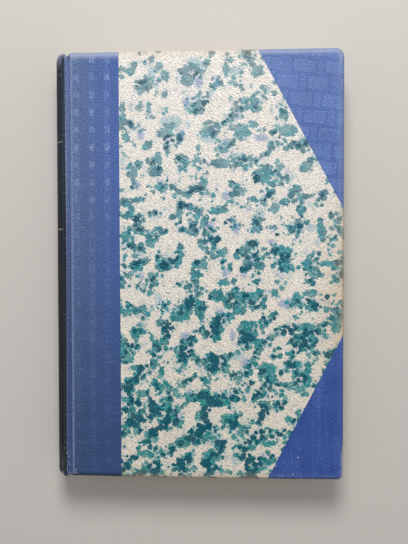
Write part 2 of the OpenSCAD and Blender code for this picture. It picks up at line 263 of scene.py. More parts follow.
class Graph:
    """A material whose nodes are built by calls that return values. A plain colour is sRGB from 0 to 255."""

    def __init__(self, name, roughness, specular, sheen=0.0, sheen_roughness=0.5, metallic=0.0):
        self.material = bpy.data.materials.new(name)
        self.material.use_nodes = True
        self.tree = self.material.node_tree
        self.tree.nodes.clear()
        self.shader = self.node("BsdfPrincipled", {
            "Roughness": roughness, "Specular IOR Level": specular, "Metallic": metallic,
            "Sheen Weight": sheen, "Sheen Roughness": sheen_roughness,
        })
        self.node("OutputMaterial", {"Surface": Value(self, self.shader.outputs[0])})

    def node(self, kind, inputs, **settings):
        """A new node with the given settings, and its inputs fed by values or set to numbers."""
        node = self.tree.nodes.new("ShaderNode" + kind)
        for key, setting in settings.items():
            setattr(node, key, setting)
        for key, value in inputs.items():
            self.feed(node.inputs[key], value)
        return node

    def feed(self, socket, value):
        if isinstance(value, Value):
            self.tree.links.new(value.socket, socket)
        else:
            socket.default_value = value

    def out(self, node, index=0):
        return Value(self, node.outputs[index])

    def read(self, name, vector=False):
        """An attribute of the mesh."""
        return self.out(self.node("Attribute", {}, attribute_name=name), "Vector" if vector else "Fac")

    def place(self):
        """The object's own coordinates, in millimetres."""
        return self.scale(self.out(self.node("TexCoord", {}), "Object"), 1000)

    def scale(self, vector, factor):
        return self.out(self.node("VectorMath", {0: vector, "Scale": factor}, operation="SCALE"))

    def turn(self, vector, degrees, size=(1, 1, 1), place=(0, 0, 0), kind="TEXTURE"):
        """Coordinates in which a texture lies turned by the angle, stretched by the sizes and set at the
        place. With the kind POINT, the vector itself is moved so."""
        angles = (0, 0, math.radians(degrees))
        inputs = {"Vector": vector, "Location": place, "Rotation": angles, "Scale": size}
        return self.out(self.node("Mapping", inputs, vector_type=kind))

    def parts(self, vector):
        node = self.node("SeparateXYZ", {0: vector})
        return [self.out(node, index) for index in range(3)]

    def math(self, kind, *values):
        return self.out(self.node("Math", dict(enumerate(values)), operation=kind))

    def most(self, first, *others):
        for other in others:
            first = self.math("MAXIMUM", first, other)
        return first

    def noise(self, vector, scale, detail=2.0, roughness=0.5):
        """Noise about zero, between about -0.5 and 0.5."""
        inputs = {"Vector": vector, "Scale": scale, "Detail": detail, "Roughness": roughness}
        return self.out(self.node("TexNoise", inputs)) - 0.5

    def stir(self, vector, scale, amount):
        """The vector, pushed about by noise by up to about the amount."""
        noise = self.node("TexNoise", {"Vector": vector, "Scale": scale, "Detail": 2.0})
        middle = {0: self.out(noise, "Color"), 1: (0.5, 0.5, 0.5)}
        push = self.out(self.node("VectorMath", middle, operation="SUBTRACT"))
        return self.out(self.node("VectorMath", {0: vector, 1: self.scale(push, amount)}))

    def cells(self, vector, scale):
        """The distance to the nearest cell's centre, a random colour for the cell, and its centre."""
        node = self.node("TexVoronoi", {"Vector": vector, "Scale": scale}, voronoi_dimensions="2D")
        return [self.out(node, index) for index in range(3)]

    def smooth(self, value, low, high, to_low=0.0, to_high=1.0):
        """A smooth passage from to_low, where the value is low, to to_high, where it is high."""
        inputs = {"Value": value, "From Min": low, "From Max": high, "To Min": to_low, "To Max": to_high}
        return self.out(self.node("MapRange", inputs, interpolation_type="SMOOTHSTEP"))

    def mix(self, share, a, b):
        """Colour a, with the share of colour b."""
        a, b = (linear(c) if isinstance(c, tuple) else c for c in (a, b))
        # among the node's sockets, 6 and 7 are its two colours, and the result is the third
        return self.out(self.node("Mix", {0: share, 6: a, 7: b}, data_type="RGBA", clamp_factor=True), 2)

    def lighten(self, colour, amount):
        """Multiplies a colour by 1 plus an amount."""
        return self.scale(linear(colour)[:3] if isinstance(colour, tuple) else colour, amount + 1.0)

    def bump(self, height, distance, strength=1.0):
        """Height in units of the distance, which is in mm."""
        node = self.node("Bump", {"Strength": strength, "Distance": distance / 1000, "Height": height})
        self.feed(self.shader.inputs["Normal"], self.out(node))

    def done(self, colour):
        self.feed(self.shader.inputs["Base Color"], colour)
        return self.material


# The covers' skins
def spread(length, coarse, fine=0.6, zone=5.0):
    """Fractions from 0 to 1, symmetric, with fine steps near both ends."""
    at, steps = 0.0, [0.0]
    while at < length / 2:
        at += fine if at < zone else min(coarse, fine + (at - zone) * 0.3 + 0.1)
        steps.append(at)
    half = np.array(steps) / steps[-1] / 2
    return np.concatenate([half, 1 - half[-2::-1]])


def outline(inset, grown, share_x, share_y):
    """Points round a cover at an inset from its outermost line, and the outward direction at each."""
    x0, x1 = BOARD_X - grown + inset, BOARD_X + BOARD_W + grown - inset
    y0, y1 = -BOARD_H / 2 - grown + inset, BOARD_H / 2 + grown - inset
    tail, head, joint = (max(r + grown - inset, 0.02) for r in (TAIL_CORNER_R, HEAD_CORNER_R, 0.3))
    corners = [(x0, y0, joint), (x1, y0, tail), (x1, y1, head), (x0, y1, joint)]
    points, normals = [], []
    for side in range(4):
        (ax, ay, ar), (bx, by, br) = corners[side], corners[(side + 1) % 4]
        angle = side * math.pi / 2
        along = np.array([math.cos(angle), math.sin(angle)])
        out = np.array([math.sin(angle), -math.cos(angle)])
        start = np.array([ax, ay]) + along * ar
        straight = np.hypot(bx - ax, by - ay) - ar - br
        share = (share_x if side % 2 == 0 else share_y)[:-1]
        first, last = ar * math.pi / 4, br * math.pi / 4
        for way in share * (first + straight + last):
            # the angle off the side, the radius there, and the way along the straight stretch
            if way < first:
                turn, radius, reach = way / ar - math.pi / 4, ar, 0.0
            elif way < first + straight:
                turn, radius, reach = 0.0, 0.0, way - first
            else:
                turn, radius, reach = (way - first - straight) / br, br, straight
            normal = out * math.cos(turn) + along * math.sin(turn)
            points.append(start + along * reach - out * radius + normal * radius)
            normals.append(normal)
    return np.array(points), np.array(normals)


def bow(points):
    """The tail edge isn't quite straight: it swells a little, most of all a third of the way along."""
    u = points[:, 0] - BOARD_X
    swell = 0.62 * np.sin(np.pi * np.clip(0.25 + 0.75 * u / BOARD_W, 0, 1)) * step(-points[:, 1], 40, 106)
    points[:, 1] -= swell


def soft_edge(rim, grown):
    """How far a skin's face sinks towards its worn edge, as its share of the skin's own thickness."""
    near = np.clip(1 - np.maximum(-rim, 0) / WORN_W, 0, 1)
    return 0.55 * grown * near ** 2


def skin_rings(radius, top, bottom):
    """Rings of a skin, from its face over the board's rounded edge and round to its turn-in: how far each
    lies in from the outermost line, its height, and its length along the skin past the face. Also returns
    the length at which the turn-in begins."""
    rings = [(inset, top, radius - inset) for inset in (4.0, 3.1, 2.4, radius)]
    for k in range(1, 7):
        a = math.pi / 2 * k / 6
        rings.append((radius - radius * math.sin(a), top - radius + radius * math.cos(a), radius * a))
    length = radius * math.pi / 2
    low = bottom + TURN_R
    wall = top - radius - low
    for share in (0.5, 1.0):
        rings.append((0.0, low + wall * (1 - share), length + wall * share))
    length += wall
    for k in range(1, 4):
        a = math.pi / 2 * k / 3
        rings.append((TURN_R - TURN_R * math.cos(a), low - TURN_R * math.sin(a), length + TURN_R * a))
    length += TURN_R * math.pi / 2
    rings += [(inset, bottom, length + inset - TURN_R) for inset in (1.2, 2.6, 4.5, 8.0, 12.0, TURN_IN)]
    return rings, length


def cover_shell(grown, inner, settle, seed):
    """Points, faces and facts of a skin all over a cover. The skin is grown past the board by grown, lies at
    inner under it, and settle(u, v) says how far its face sinks. The facts are co, the place on the flattened
    skin, and rim, the length past the face, which is negative on it."""
    radius, top = EDGE_ROUND + grown, BOARD_T + grown
    rings, length = skin_rings(radius, top, -inner)
    share_x, share_y = spread(BOARD_W, 1.3), spread(BOARD_H, 1.3)
    nx, ny = len(share_x), len(share_y)
    x0, x1 = BOARD_X - grown + GRID_INSET, BOARD_X + BOARD_W + grown - GRID_INSET
    y0, y1 = -BOARD_H / 2 - grown + GRID_INSET, BOARD_H / 2 + grown - GRID_INSET
    xs, ys = np.meshgrid(x0 + share_x * (x1 - x0), y0 + share_y * (y1 - y0), indexing="ij")
    points = [np.stack([xs.ravel(), ys.ravel(), np.full(xs.size, top)], 1)]
    flat = [np.stack([xs.ravel() - BOARD_X, ys.ravel(), np.zeros(xs.size)], 1)]
    rim = [np.full(xs.size, -WORN_W)]
    faces = [tuple(reversed(f)) for f in grid_faces(nx, ny)]
    border = [i * ny for i in range(nx - 1)] + [(nx - 1) * ny + j for j in range(ny - 1)]
    border += [i * ny + ny - 1 for i in range(nx - 1, 0, -1)] + [j for j in range(ny - 1, 0, -1)]
    previous, first = border, nx * ny
    edge, edge_out = outline(radius, grown, share_x, share_y)
    count = len(edge)
    for inset, height, along in rings:
        ring = outline(inset, grown, share_x, share_y)[0]
        points.append(np.column_stack([ring, np.full(count, height)]))
        unrolled = edge + edge_out * along if along > 0 else ring
        flat.append(np.column_stack([unrolled[:, 0] - BOARD_X, unrolled[:, 1], np.zeros(count)]))
        rim.append(np.full(count, along))
        current = list(range(first, first + count))
        for k in range(count):
            following = (k + 1) % count
            faces.append((previous[k], current[k], current[following], previous[following]))
        previous, first = current, first + count
    points, flat, rim = np.concatenate(points), np.concatenate(flat), np.concatenate(rim)
    u, v = flat[:, 0], flat[:, 1]
    face_share = 1 - step(rim, radius * 0.6, radius * 1.5)
    points[:, 2] -= np.where(rim < length - 1, soft_edge(rim, grown), 0)
    points[:, 2] -= face_share * (settle(u, v) + 0.035 * (1 + waves(u, v, seed, 38)) * step(-rim, -2.0, 3.0))
    worn = step(rim, 0, radius * 0.5) * (1 - step(rim, length - 0.5, length + 1))
    dent = 0.05 * waves(u, v, seed + 1, 9) + 0.03 * waves(u, v, seed + 2, 3.5)
    points[:, 2] += worn * np.clip(dent, -0.07, 0.03)
    points[:, 2] += BOARD_Z
    bow(points)
    return points, faces, {"co": flat, "rim": rim}


def corner_plane(size, lap, head):
    """A vertical plane along a corner cloth's slanted edge, with its normal away from the corner."""
    along, up = size
    slant = math.hypot(along, up)
    nx, ny = -up / slant, -along / slant
    x, y = BOARD_X + BOARD_W - along + nx * lap, BOARD_H / 2 + ny * lap
    return (x, y if head else -y), (nx, ny if head else -ny)


def reverse(plane):
    """The same plane with its normal the other way."""
    place, normal = plane
    return place, (-normal[0], -normal[1])


def paper_edge():
    """The side paper's edge over the quarter cloth, a little out of square, with its normal to the spine."""
    turn = math.atan(PAPER_SLANT)
    return (BOARD_X + QUARTER_W, 0.0), (-math.cos(turn), -math.sin(turn))


def under_paper(u, v):
    """How far the paper sinks where no cloth lies under it."""
    bare = step(u - QUARTER_W, LAP_W - 0.6, LAP_W + 1.6)
    for (along, up), sign in ((HEAD_CORNER_CLOTH, 1), (TAIL_CORNER_CLOTH, -1)):
        slant = math.hypot(along, up)
        away = ((BOARD_W - along - u) * up + (BOARD_H / 2 - sign * v) * along) / slant
        bare = bare * step(away, LAP_W - 0.6, LAP_W + 1.6)
    return 0.09 * bare


# The larger blots of the front cover's paper, as plain ellipses: centre from the line at BLOTS_START and from
# the middle, half width and half height, and for some the angle that they lean at.
BLOTS = {
    "teal": [
        (39.9, 102.1, 2, 2), (28.9, 96.9, 2.8, 2.2), (24.9, 98, 1.2, 1.6), (43.9, 98.6, 2.4, 2.6),
        (46.8, 94.2, 2.2, 3), (33.9, 91.4, 2, 1.3), (58.2, 92.1, 4, 3.8), (77.4, 96.7, 2, 3.8),
        (79.4, 101.5, 1.7, 1.6), (92.6, 95.9, 3.4, 3.2), (38.3, 87.4, 0.8, 1.7), (42.3, 86.4, 0.9, 2),
        (46.8, 85.4, 1.6, 2.4), (84.8, 87.3, 1.7, 2.1), (89.2, 88.7, 0.8, 1.5), (77.9, 87.9, 0.7, 1.1),
        (100.9, 84.9, 2.2, 1.4), (25, 78.8, 1.8, 3.2), (34, 79.2, 2, 2.7), (38.8, 78.6, 1.4, 3),
        (63.1, 79.3, 1.7, 2.6), (73.5, 78.9, 0.9, 0.9), (82.3, 80, 1.4, 2), (85.8, 81.4, 2, 2),
        (90.7, 81.4, 3, 2.4), (79.4, 82.5, 1, 1.6), (49.2, 69.6, 3.2, 2), (32.8, 69.3, 2.2, 1.1, 40),
        (46.7, 66, 4.4, 2.8), (27, 64.4, 2.5, 2.8), (31.2, 60.9, 1.4, 2), (37.9, 59.9, 2.8, 2.4),
        (68, 66.5, 3.6, 2.4), (84.8, 66.3, 4.6, 4.2), (80.3, 68.8, 2.4, 1.6), (90.7, 69.6, 3.6, 1.8),
        (106.8, 72.9, 1.3, 1.7), (107.8, 66.5, 5.2, 3), (63.7, 57.7, 1.4, 3.4), (48.2, 56.8, 1.2, 2.4),
        (54.6, 53.3, 3.6, 2.2), (57.1, 49.6, 1.8, 2.8), (63, 48.3, 1.1, 1.7), (98.5, 57.3, 1.3, 3.4),
        (89.7, 52.8, 1.7, 3.4), (74.4, 50.7, 6, 2.6), (63.8, 48.1, 1.2, 1.2), (95.1, 44.1, 5.4, 4),
        (97.5, 48.1, 2.6, 2.6), (102.4, 46.5, 2, 1.4), (116.6, 48.4, 3.4, 2.7), (30.3, 46.1, 3.8, 2.4),
        (42.1, 47.3, 4.2, 3.2), (30.6, 42.2, 1.8, 1.8), (38.1, 40.1, 1.3, 1.1), (41.1, 38.4, 1, 0.9),
        (59, 44.4, 0.8, 1.1), (62, 43.4, 0.9, 1.4), (68, 45.3, 0.8, 1.3), (63.2, 38, 5, 2),
        (80.3, 40.3, 2.4, 2), (83.6, 36.9, 2, 1.8), (106.8, 43.1, 1.1, 1.9), (110.8, 36.7, 2.8, 2.8),
        (117.1, 34, 4, 1.4, 15), (125.9, 36.1, 1.9, 1.4), (26.6, 31.6, 3, 2.4), (32.1, 32.7, 3.8, 1.4),
        (29.5, 27.3, 1.8, 3.8), (54, 28.1, 2, 6.2), (64.5, 27.6, 2, 2.4), (72.9, 27.6, 5.6, 2.2),
        (66.7, 22.2, 2.2, 3.6), (101.5, 28.6, 2.2, 3.4), (92.1, 21.8, 3.2, 3.2), (114.4, 27.4, 2.6, 3.8),
        (104.9, 24, 0.9, 1.1), (109.8, 24.2, 0.9, 0.9), (117.1, 21.3, 1.1, 1.4), (34.2, 17.8, 3.2, 2.6),
        (39, 15, 2.2, 2.8), (60.6, 17.5, 2.2, 2.8), (65.7, 20.2, 1.6, 2.4), (93.1, 17.8, 2, 2),
        (100.7, 18.6, 2.8, 1.8), (124.5, 16.3, 2.6, 4.2), (128.1, 14.1, 1.1, 1.4), (38, 10.6, 1.4, 2.4),
        (64.6, 11.8, 1.7, 1.9), (68.4, 12.3, 0.9, 0.9), (88.9, 9.5, 5.2, 2.8, 30), (97, 8.2, 2.3, 1.2),
        (110, 11.7, 1, 1), (31.9, -0.1, 3.8, 3), (45.9, -0.1, 4.6, 3.4), (64.1, 0.7, 4.2, 2.8),
        (60.9, -4.6, 1.6, 5), (79.3, -1.1, 1.4, 3.4), (94.6, -0.4, 3.4, 2.4), (106.4, -1.2, 3.4, 2.8),
        (117.2, 1.3, 2.8, 1.8), (127, 0.8, 4.6, 1.8), (57.5, -10.6, 1.4, 1.3), (33.9, -10.1, 2, 1.8),
        (76, -8.3, 3.8, 1.8), (35.6, -21.6, 1.8, 2.8), (39.4, -13.6, 2.2, 1.4, 35), (42.4, -9.1, 1.1, 1.8),
        (28.3, -7.1, 1.3, 1.1), (48.4, -18.1, 1.3, 1.7), (54.4, -18.1, 1, 1.2), (57.8, -21.5, 2.4, 1.8),
        (72.3, -15, 4.4, 3.4, 30), (64, -22, 3, 4.4), (65.3, -27, 1.4, 2.6), (84.5, -15.5, 4.2, 2.8),
        (90.1, -16, 3.6, 3.2), (93.6, -12.8, 2.4, 2.2), (101.5, -14, 2.2, 2.8), (112.3, -16, 2.8, 3),
        (119.2, -14, 4.8, 1.8), (129.9, -18.4, 0.9, 0.9), (73.8, -26, 1.6, 1.8), (54, -26, 5.6, 2.6),
        (44.3, -28.9, 2.6, 2), (31.3, -25.3, 1.1, 1.1), (27.9, -23.1, 1.4, 1.3), (31.9, -34.3, 3, 3.2),
        (39.8, -35.3, 2.2, 2.2), (79.4, -26, 2.4, 2.2), (86.7, -32.1, 3.8, 4.6), (90.6, -28.9, 3.6, 1.4),
        (99, -35.3, 1.8, 1.8), (117.2, -30.3, 5.4, 2.2), (111.5, -26.1, 1.8, 1.2), (113.3, -36.3, 1.3, 2),
        (126.5, -21.4, 1.8, 1.8), (131.9, -29.9, 2.8, 3.8), (60, -38.2, 1.2, 1.4), (62.3, -47.5, 1.4, 3.2),
        (32.6, -51.7, 3.4, 1.8), (40.7, -50.2, 2.8, 2), (44.7, -53.6, 1.8, 2.8), (53.7, -53.1, 1.8, 1.3),
        (76.7, -51.1, 2.2, 1.8), (68.8, -46, 2.8, 2.2), (82.2, -43.9, 2.6, 1.4), (82.7, -56.9, 2.2, 1.8),
        (93.8, -40.8, 2.8, 2.8), (97.8, -51.8, 5.2, 3.4), (99.5, -56.7, 2.6, 2.6), (94.8, -55, 1.8, 1.6),
        (118.3, -51.1, 1.8, 3.4), (118.5, -56.6, 1.5, 2.2), (43.7, -61.2, 2.8, 2.6), (34.6, -64.5, 4.6, 1.8),
        (28.7, -63.3, 1.6, 1.8), (66.9, -58.2, 2.2, 2.2), (53.7, -66.1, 1.8, 2.2), (78.7, -61.1, 0.9, 1.3),
        (73.7, -68.2, 6.2, 2.8), (96.4, -69.5, 3, 2.2), (94.8, -76.8, 1.4, 1.2), (106.7, -66.6, 1.8, 1.8),
        (107.7, -76.4, 1.8, 1.8), (112.4, -61.6, 3.4, 1.8), (116.5, -63.8, 1.6, 1.8), (48.8, -76.5, 4, 1.8),
        (53.7, -79.7, 1.6, 2.2), (28.7, -77.5, 1.3, 1.2), (32.2, -77.7, 1.1, 1), (25.4, -81.8, 1.8, 1.8),
        (77.9, -77, 3.4, 2.8), (64.9, -74.3, 1.4, 1.4), (81.7, -73.1, 1.5, 1.2), (54.8, -89.3, 3.6, 3),
        (58.8, -88.8, 1.8, 1.6), (36.5, -94.6, 3.8, 2.2), (26.8, -99, 1.5, 1.4), (30.3, -103, 1.4, 1.2),
        (68.7, -95.7, 4, 3.8), (61.6, -101.5, 1.6, 1.2), (89.8, -90.4, 2, 2), (93.6, -88, 2.2, 2.2),
        (98.6, -88.7, 4.6, 1.8), (97.6, -98, 3.2, 2.2), (96.6, -101, 1.8, 1.4), (74.6, -103.2, 1.5, 1.3),
        (70.8, -103.4, 0.9, 1.3), (78.6, -103.3, 1.4, 1.2), (88.6, -103.2, 1.8, 1.2),
    ],
    "deep": [
        (62.7, 94.2, 2, 2.2), (52.4, 85, 2, 1.8), (67.1, 79.5, 2.2, 3.6), (39.8, 72.7, 1.3, 1.1),
        (48.7, 62.7, 2.6, 2.4), (99.5, 72, 1.8, 2.4), (95.6, 66.9, 1.2, 1), (103.4, 64.4, 1.4, 1.6),
        (110, 62.1, 1.1, 1.1), (53.6, 53.3, 1.8, 1.2), (109.8, 55.8, 2.4, 2.2), (91.6, 43.2, 2.4, 2.4),
        (43.6, 48.5, 1.6, 1.4), (64.5, 38.3, 2.4, 1.2), (73.9, 34.5, 2.4, 1.2, 35),
        (39.6, 34.7, 4.6, 1.4, 10), (54.5, 30.1, 1.2, 3), (55.5, 22.2, 1.6, 1.6), (75.6, 24.6, 1.3, 1.4),
        (92.6, 21.1, 1.6, 1.4),
        (114, 23.9, 1.5, 1.4), (126.1, 26.3, 1.2, 1.7), (32.2, 22.8, 2.2, 1.8), (33.8, 18, 1.8, 1.5),
        (50.7, 17.3, 4, 2.2, -35), (78, 20.6, 2, 2.8), (103.4, 13.6, 1.8, 3.4), (74, 11.1, 3.2, 2.8),
        (81.6, 7.6, 3, 1.6, 20), (90.4, 10.7, 2.4, 1.8), (32.1, 0.7, 1.8, 1.4), (46.1, -0.1, 2.6, 2.2),
        (62.9, 1.7, 2.2, 1.4), (84.2, -1.9, 1.6, 4.4), (98.5, -5.3, 1.8, 1.4), (104.9, -1.9, 1.4, 1.4),
        (51.6, -9.1, 2.4, 1.8, -40), (30, -15.1, 2.4, 3.8), (67.8, -17.5, 3, 2.4, 40), (87.2, -15, 2.2, 1.6),
        (111.8, -17.4, 1.3, 1.2), (126.5, -15.2, 2.2, 2.2), (48.8, -31.3, 4.2, 3.8), (49.5, -37.1, 1.8, 3.8),
        (28.9, -39.4, 1.8, 3.2, 45), (68.8, -33.2, 2.2, 3.4), (67.6, -37.2, 1.2, 2), (85.5, -34.1, 2, 2),
        (95.3, -25.9, 1.4, 1.8), (101.7, -28.7, 1.2, 5), (100.9, -38.6, 1.2, 3.4), (108.6, -32, 3.6, 3.2),
        (111.9, -41.5, 2.2, 3.4), (122.4, -38.9, 1.3, 2.2), (57.8, -43.2, 3, 2.6), (35.7, -48.4, 4.4, 3.2),
        (73.7, -48.1, 4, 3.2), (84.7, -51.5, 1, 1), (95.4, -52.8, 2.4, 1.8), (89.6, -59, 2.2, 2.2),
        (42.7, -62.2, 1.4, 1.2), (33.5, -70.4, 1.8, 3.8), (60.2, -58.2, 4.2, 2.2), (62.7, -56.8, 2, 1.4),
        (72.2, -69, 3.4, 1.8), (68.7, -73.5, 3.6, 4.4), (68.9, -78.3, 3.2, 1.6), (94.8, -74, 4.2, 5.4),
        (99.5, -65.9, 1.8, 2.2), (105, -80.5, 2.6, 3.4), (44.1, -73.5, 2, 2), (40.6, -80.6, 3.8, 3.2),
        (42.4, -84.6, 2.2, 1.4), (79.2, -78.1, 1.8, 1.4), (63.9, -91.4, 1.5, 1.3), (48.8, -97.7, 4, 2.6),
        (50.8, -99.7, 2.4, 1.4), (29.6, -96.9, 3.6, 2), (64.8, -99.5, 3.8, 2.2), (87.1, -95.4, 2.2, 5.6),
        (87.1, -88.1, 3.4, 1.6), (53.6, -105.1, 2, 0.9),
    ],
    "wash": [
        (39.9, 94.8, 1.8, 6), (62.7, 99.3, 3.4, 5.5, 50), (82.3, 96.1, 4.2, 2.8), (90.2, 102.3, 2.2, 1.8),
        (97, 86.6, 3, 2.4), (29.5, 79.2, 1.4, 2.7), (69, 85.1, 2.8, 1.8, 35), (95.1, 82.3, 1.4, 1.6),
        (49.7, 71.1, 6.2, 3.6), (68.5, 64.5, 5.2, 3.8), (58.3, 70, 1.4, 2.4), (78.4, 71.7, 4, 1.4),
        (99.5, 76.4, 1.6, 1.4), (25.2, 52.6, 1.6, 2.8), (53.6, 46.4, 1.3, 1.4), (82.8, 54.1, 4.8, 2.2),
        (122.9, 50.6, 2, 2), (55.8, 36.5, 1.8, 1.6), (46.1, 28.5, 1.4, 1.4), (49.3, 29.5, 1.1, 1),
        (93.8, 25.5, 2.8, 3.6), (118.3, 30.1, 2, 1.4), (58, 17.7, 1.6, 2.2), (119.1, 18.5, 2.8, 2.2),
        (122.5, 11.4, 2.2, 1.8), (30.2, 10.9, 1.6, 1.6), (52.9, 1.1, 2.2, 1.6), (133, -2.2, 1.8, 2.6),
        (42.9, -15.1, 1.6, 2), (34.3, -30.6, 3, 2.6), (73.3, -34, 1.6, 3.4), (126.9, -35.2, 3.6, 1.8),
        (43.5, -46.1, 2.2, 1.8), (81.7, -45.1, 4.6, 2.6), (122.2, -46.6, 1.5, 2.2), (71.9, -87.3, 3.8, 4.6),
        (81.6, -96.2, 2.2, 4.2),
    ],
    "pale": [
        (63.6, 91, 2.4, 3), (73, 90.4, 1.6, 2.2), (57.4, 80.8, 2, 2.8), (34.4, 65.4, 1.8, 2.8),
        (55.1, 65.6, 1.2, 2), (82.8, 74.1, 1.6, 2.2), (94.6, 63.2, 3.8, 1.8), (77.4, 61, 1.8, 2.4),
        (32.8, 40.5, 1.8, 1.8), (77, 34.4, 2, 2.6), (68.9, 19.7, 2.4, 2.4), (82.3, 18.4, 1.8, 3.6),
        (99.5, 11.5, 1.8, 1.6), (85.9, -4.3, 1.6, 2.2), (34.6, -5.6, 1.6, 2), (76.8, -4.1, 1.4, 2),
        (74.1, -23.5, 2.2, 2.2), (106.4, -19.1, 3.8, 2.2), (80.4, -35.1, 1.4, 3.4), (56.3, -35.5, 2.4, 2),
        (69.9, -51, 2.8, 2.2), (87.2, -48.8, 2.8, 2.4), (111.4, -48.9, 2.2, 2.2), (59.2, -64.3, 2, 2.4),
        (48.9, -72.4, 1.8, 2.4), (54.2, -76.4, 1.6, 1.6), (79.2, -80.8, 1.6, 1.8), (38.4, -100.9, 1.8, 1.5),
    ],
}


def strewn(seed):
    """Blots of the same kinds and sizes strewn afresh, for a cover that the photograph doesn't show."""
    rng = np.random.default_rng(seed)
    blots = {}
    for kind, rows in BLOTS.items():
        blots[kind] = []
        for _, _, a, b, *lean in rows:
            u = QUARTER_W + rng.uniform(-1, BOARD_W - QUARTER_W + 2)
            v = rng.uniform(-BOARD_H / 2, BOARD_H / 2)
            blots[kind].append((u, v, a, b, sum(lean) + rng.uniform(-30, 30)))
    # a deep blot lies on the nearest teal one
    for number, (u, v, *size) in enumerate(blots["deep"]):
        near = min(blots["teal"], key=lambda blot: (blot[0] - u) ** 2 + (blot[1] - v) ** 2)
        blots["deep"][number] = (near[0] + rng.uniform(-1.5, 1.5), near[1] + rng.uniform(-1.5, 1.5), *size)
    return blots


def blot_fields(u, v, blots):
    """For each kind of blot, about how far each point lies inside its nearest one, in mm."""
    fields = {}
    for kind, rows in blots.items():
        field = np.full(u.shape, -BLOT_REACH)
        for middle_u, middle_v, a, b, *lean in rows:
            turn = math.radians(sum(lean))
            reach = a + b + BLOT_REACH
            near = (np.abs(u - middle_u) < reach) & (np.abs(v - middle_v) < reach)
            du, dv = u[near] - middle_u, v[near] - middle_v
            p = (du * math.cos(turn) + dv * math.sin(turn)) / a
            q = (-du * math.sin(turn) + dv * math.cos(turn)) / b
            field[near] = np.maximum(field[near], (1 - np.hypot(p, q)) * math.sqrt(a * b))
        fields[kind] = field
    return fields


def board_core(front, material):
    """The board, with its corners worn as round as the skin that covers them."""
    points, faces, _ = cover_shell(0.0, 0.0, lambda u, v: 0.05, 3)
    obj = make_mesh(SIDE[front] + "_board_core", points, faces, front)
    reshape(obj, lambda bm: bmesh.ops.holes_fill(bm, edges=bm.edges[:], sides=0))
    face_outwards(obj)
    finish_piece(obj, material)
    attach(obj, BODY[front])
    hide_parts(SIDE[front] + "_board")


def side_paper(front, material):
    """The blotted paper over a cover, cut off along the cloths and turned in at three edges."""
    points, faces, facts = cover_shell(SKIN_T, CLOTH_T, under_paper, 11 if front else 23)
    u, v = facts["co"][:, 0], facts["co"][:, 1]
    facts.update(blot_fields(u - BLOTS_START, v, BLOTS if front else strewn(5)))
    obj = make_mesh(SIDE[front] + "_side_paper_sheet", points, faces, front, facts)
    cut(obj, [
        paper_edge(),
        reverse(corner_plane(HEAD_CORNER_CLOTH, 0, True)),
        reverse(corner_plane(TAIL_CORNER_CLOTH, 0, False)),
    ])
    finish_piece(obj, material, thickness=0.12)
    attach(obj, BODY[front])
    side = SIDE[front]
    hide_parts(side + "_side_paper", side + "_dark_blots", side + "_teal_blots", side + "_pale_blots")


def corner_cloth(front, head, material):
    """The triangle of cloth over a fore-edge corner, lapped by the paper."""
    points, faces, facts = cover_shell(CLOTH_T, CLOTH_T, lambda u, v: 0.0, 31 + 2 * front + head)
    end = "head" if head else "tail"
    obj = make_mesh(f"{SIDE[front]}_{end}_corner_cloth", points, faces, front, facts)
    cut(obj, [corner_plane(HEAD_CORNER_CLOTH if head else TAIL_CORNER_CLOTH, LAP_W, head)])
    finish_piece(obj, material, CLOTH_SHEET_T)
    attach(obj, BODY[front])
    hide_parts(f"{SIDE[front]}_{end}_corner")


# Cloth over the joints and the spine
def arc(x, z, radius, start, end, count):
    """Points round a middle, from one angle to another."""
    turns = np.radians(np.linspace(start, end, count))
    return np.column_stack([x + radius * np.cos(turns), z + radius * np.sin(turns)])


def meeting(p, p_way, q, q_way):
    """Where the line through p along p_way meets the line through q along q_way."""
    cross = p_way[0] * q_way[1] - p_way[1] * q_way[0]
    t = ((q[0] - p[0]) * q_way[1] - (q[1] - p[1]) * q_way[0]) / cross
    return np.array([[p[0] + p_way[0] * t, p[1] + p_way[1] * t]])


def joint_profile():
    """The quarter cloth's outer line: off the spine, over its ridge, through the groove, onto the board."""
    turns = np.linspace(RIDGE_ANGLE - math.radians(8), RIDGE_ANGLE - math.radians(1.6), 6)
    r = SPINE_R + 0.02
    spine = np.column_stack([SPINE_R - r * np.cos(turns), r * np.sin(turns)])
    groove = arc(BOARD_X - GROOVE_BACK, BOARD_Z + GROOVE_UP, GROOVE_R, GROOVE_START, 340, 16)
    start = math.radians(GROOVE_START)
    spine_way, groove_way = (math.sin(turns[-1]), math.cos(turns[-1])), (-math.sin(start), math.cos(start))
    peak = meeting(spine[-1], spine_way, groove[0], groove_way)
    t = np.linspace(0, 1, 8)[1:-1, None]
    ridge = (1 - t) ** 2 * spine[-1:] + 2 * t * (1 - t) * peak + t * t * groove[:1]
    top = BOARD_Z + BOARD_T + CLOTH_T
    edge_r = 1.0
    edge = arc(BOARD_X + 0.7, top - edge_r, edge_r, 162, 90, 9)
    reach = BOARD_X + QUARTER_W + LAP_W
    over = np.concatenate([np.linspace(1.0, 2.7, 4) + BOARD_X, np.linspace(BOARD_X + 3.6, reach, 20)])
    return np.concatenate([spine, ridge, groove, edge, np.column_stack([over, np.full(len(over), top)])])


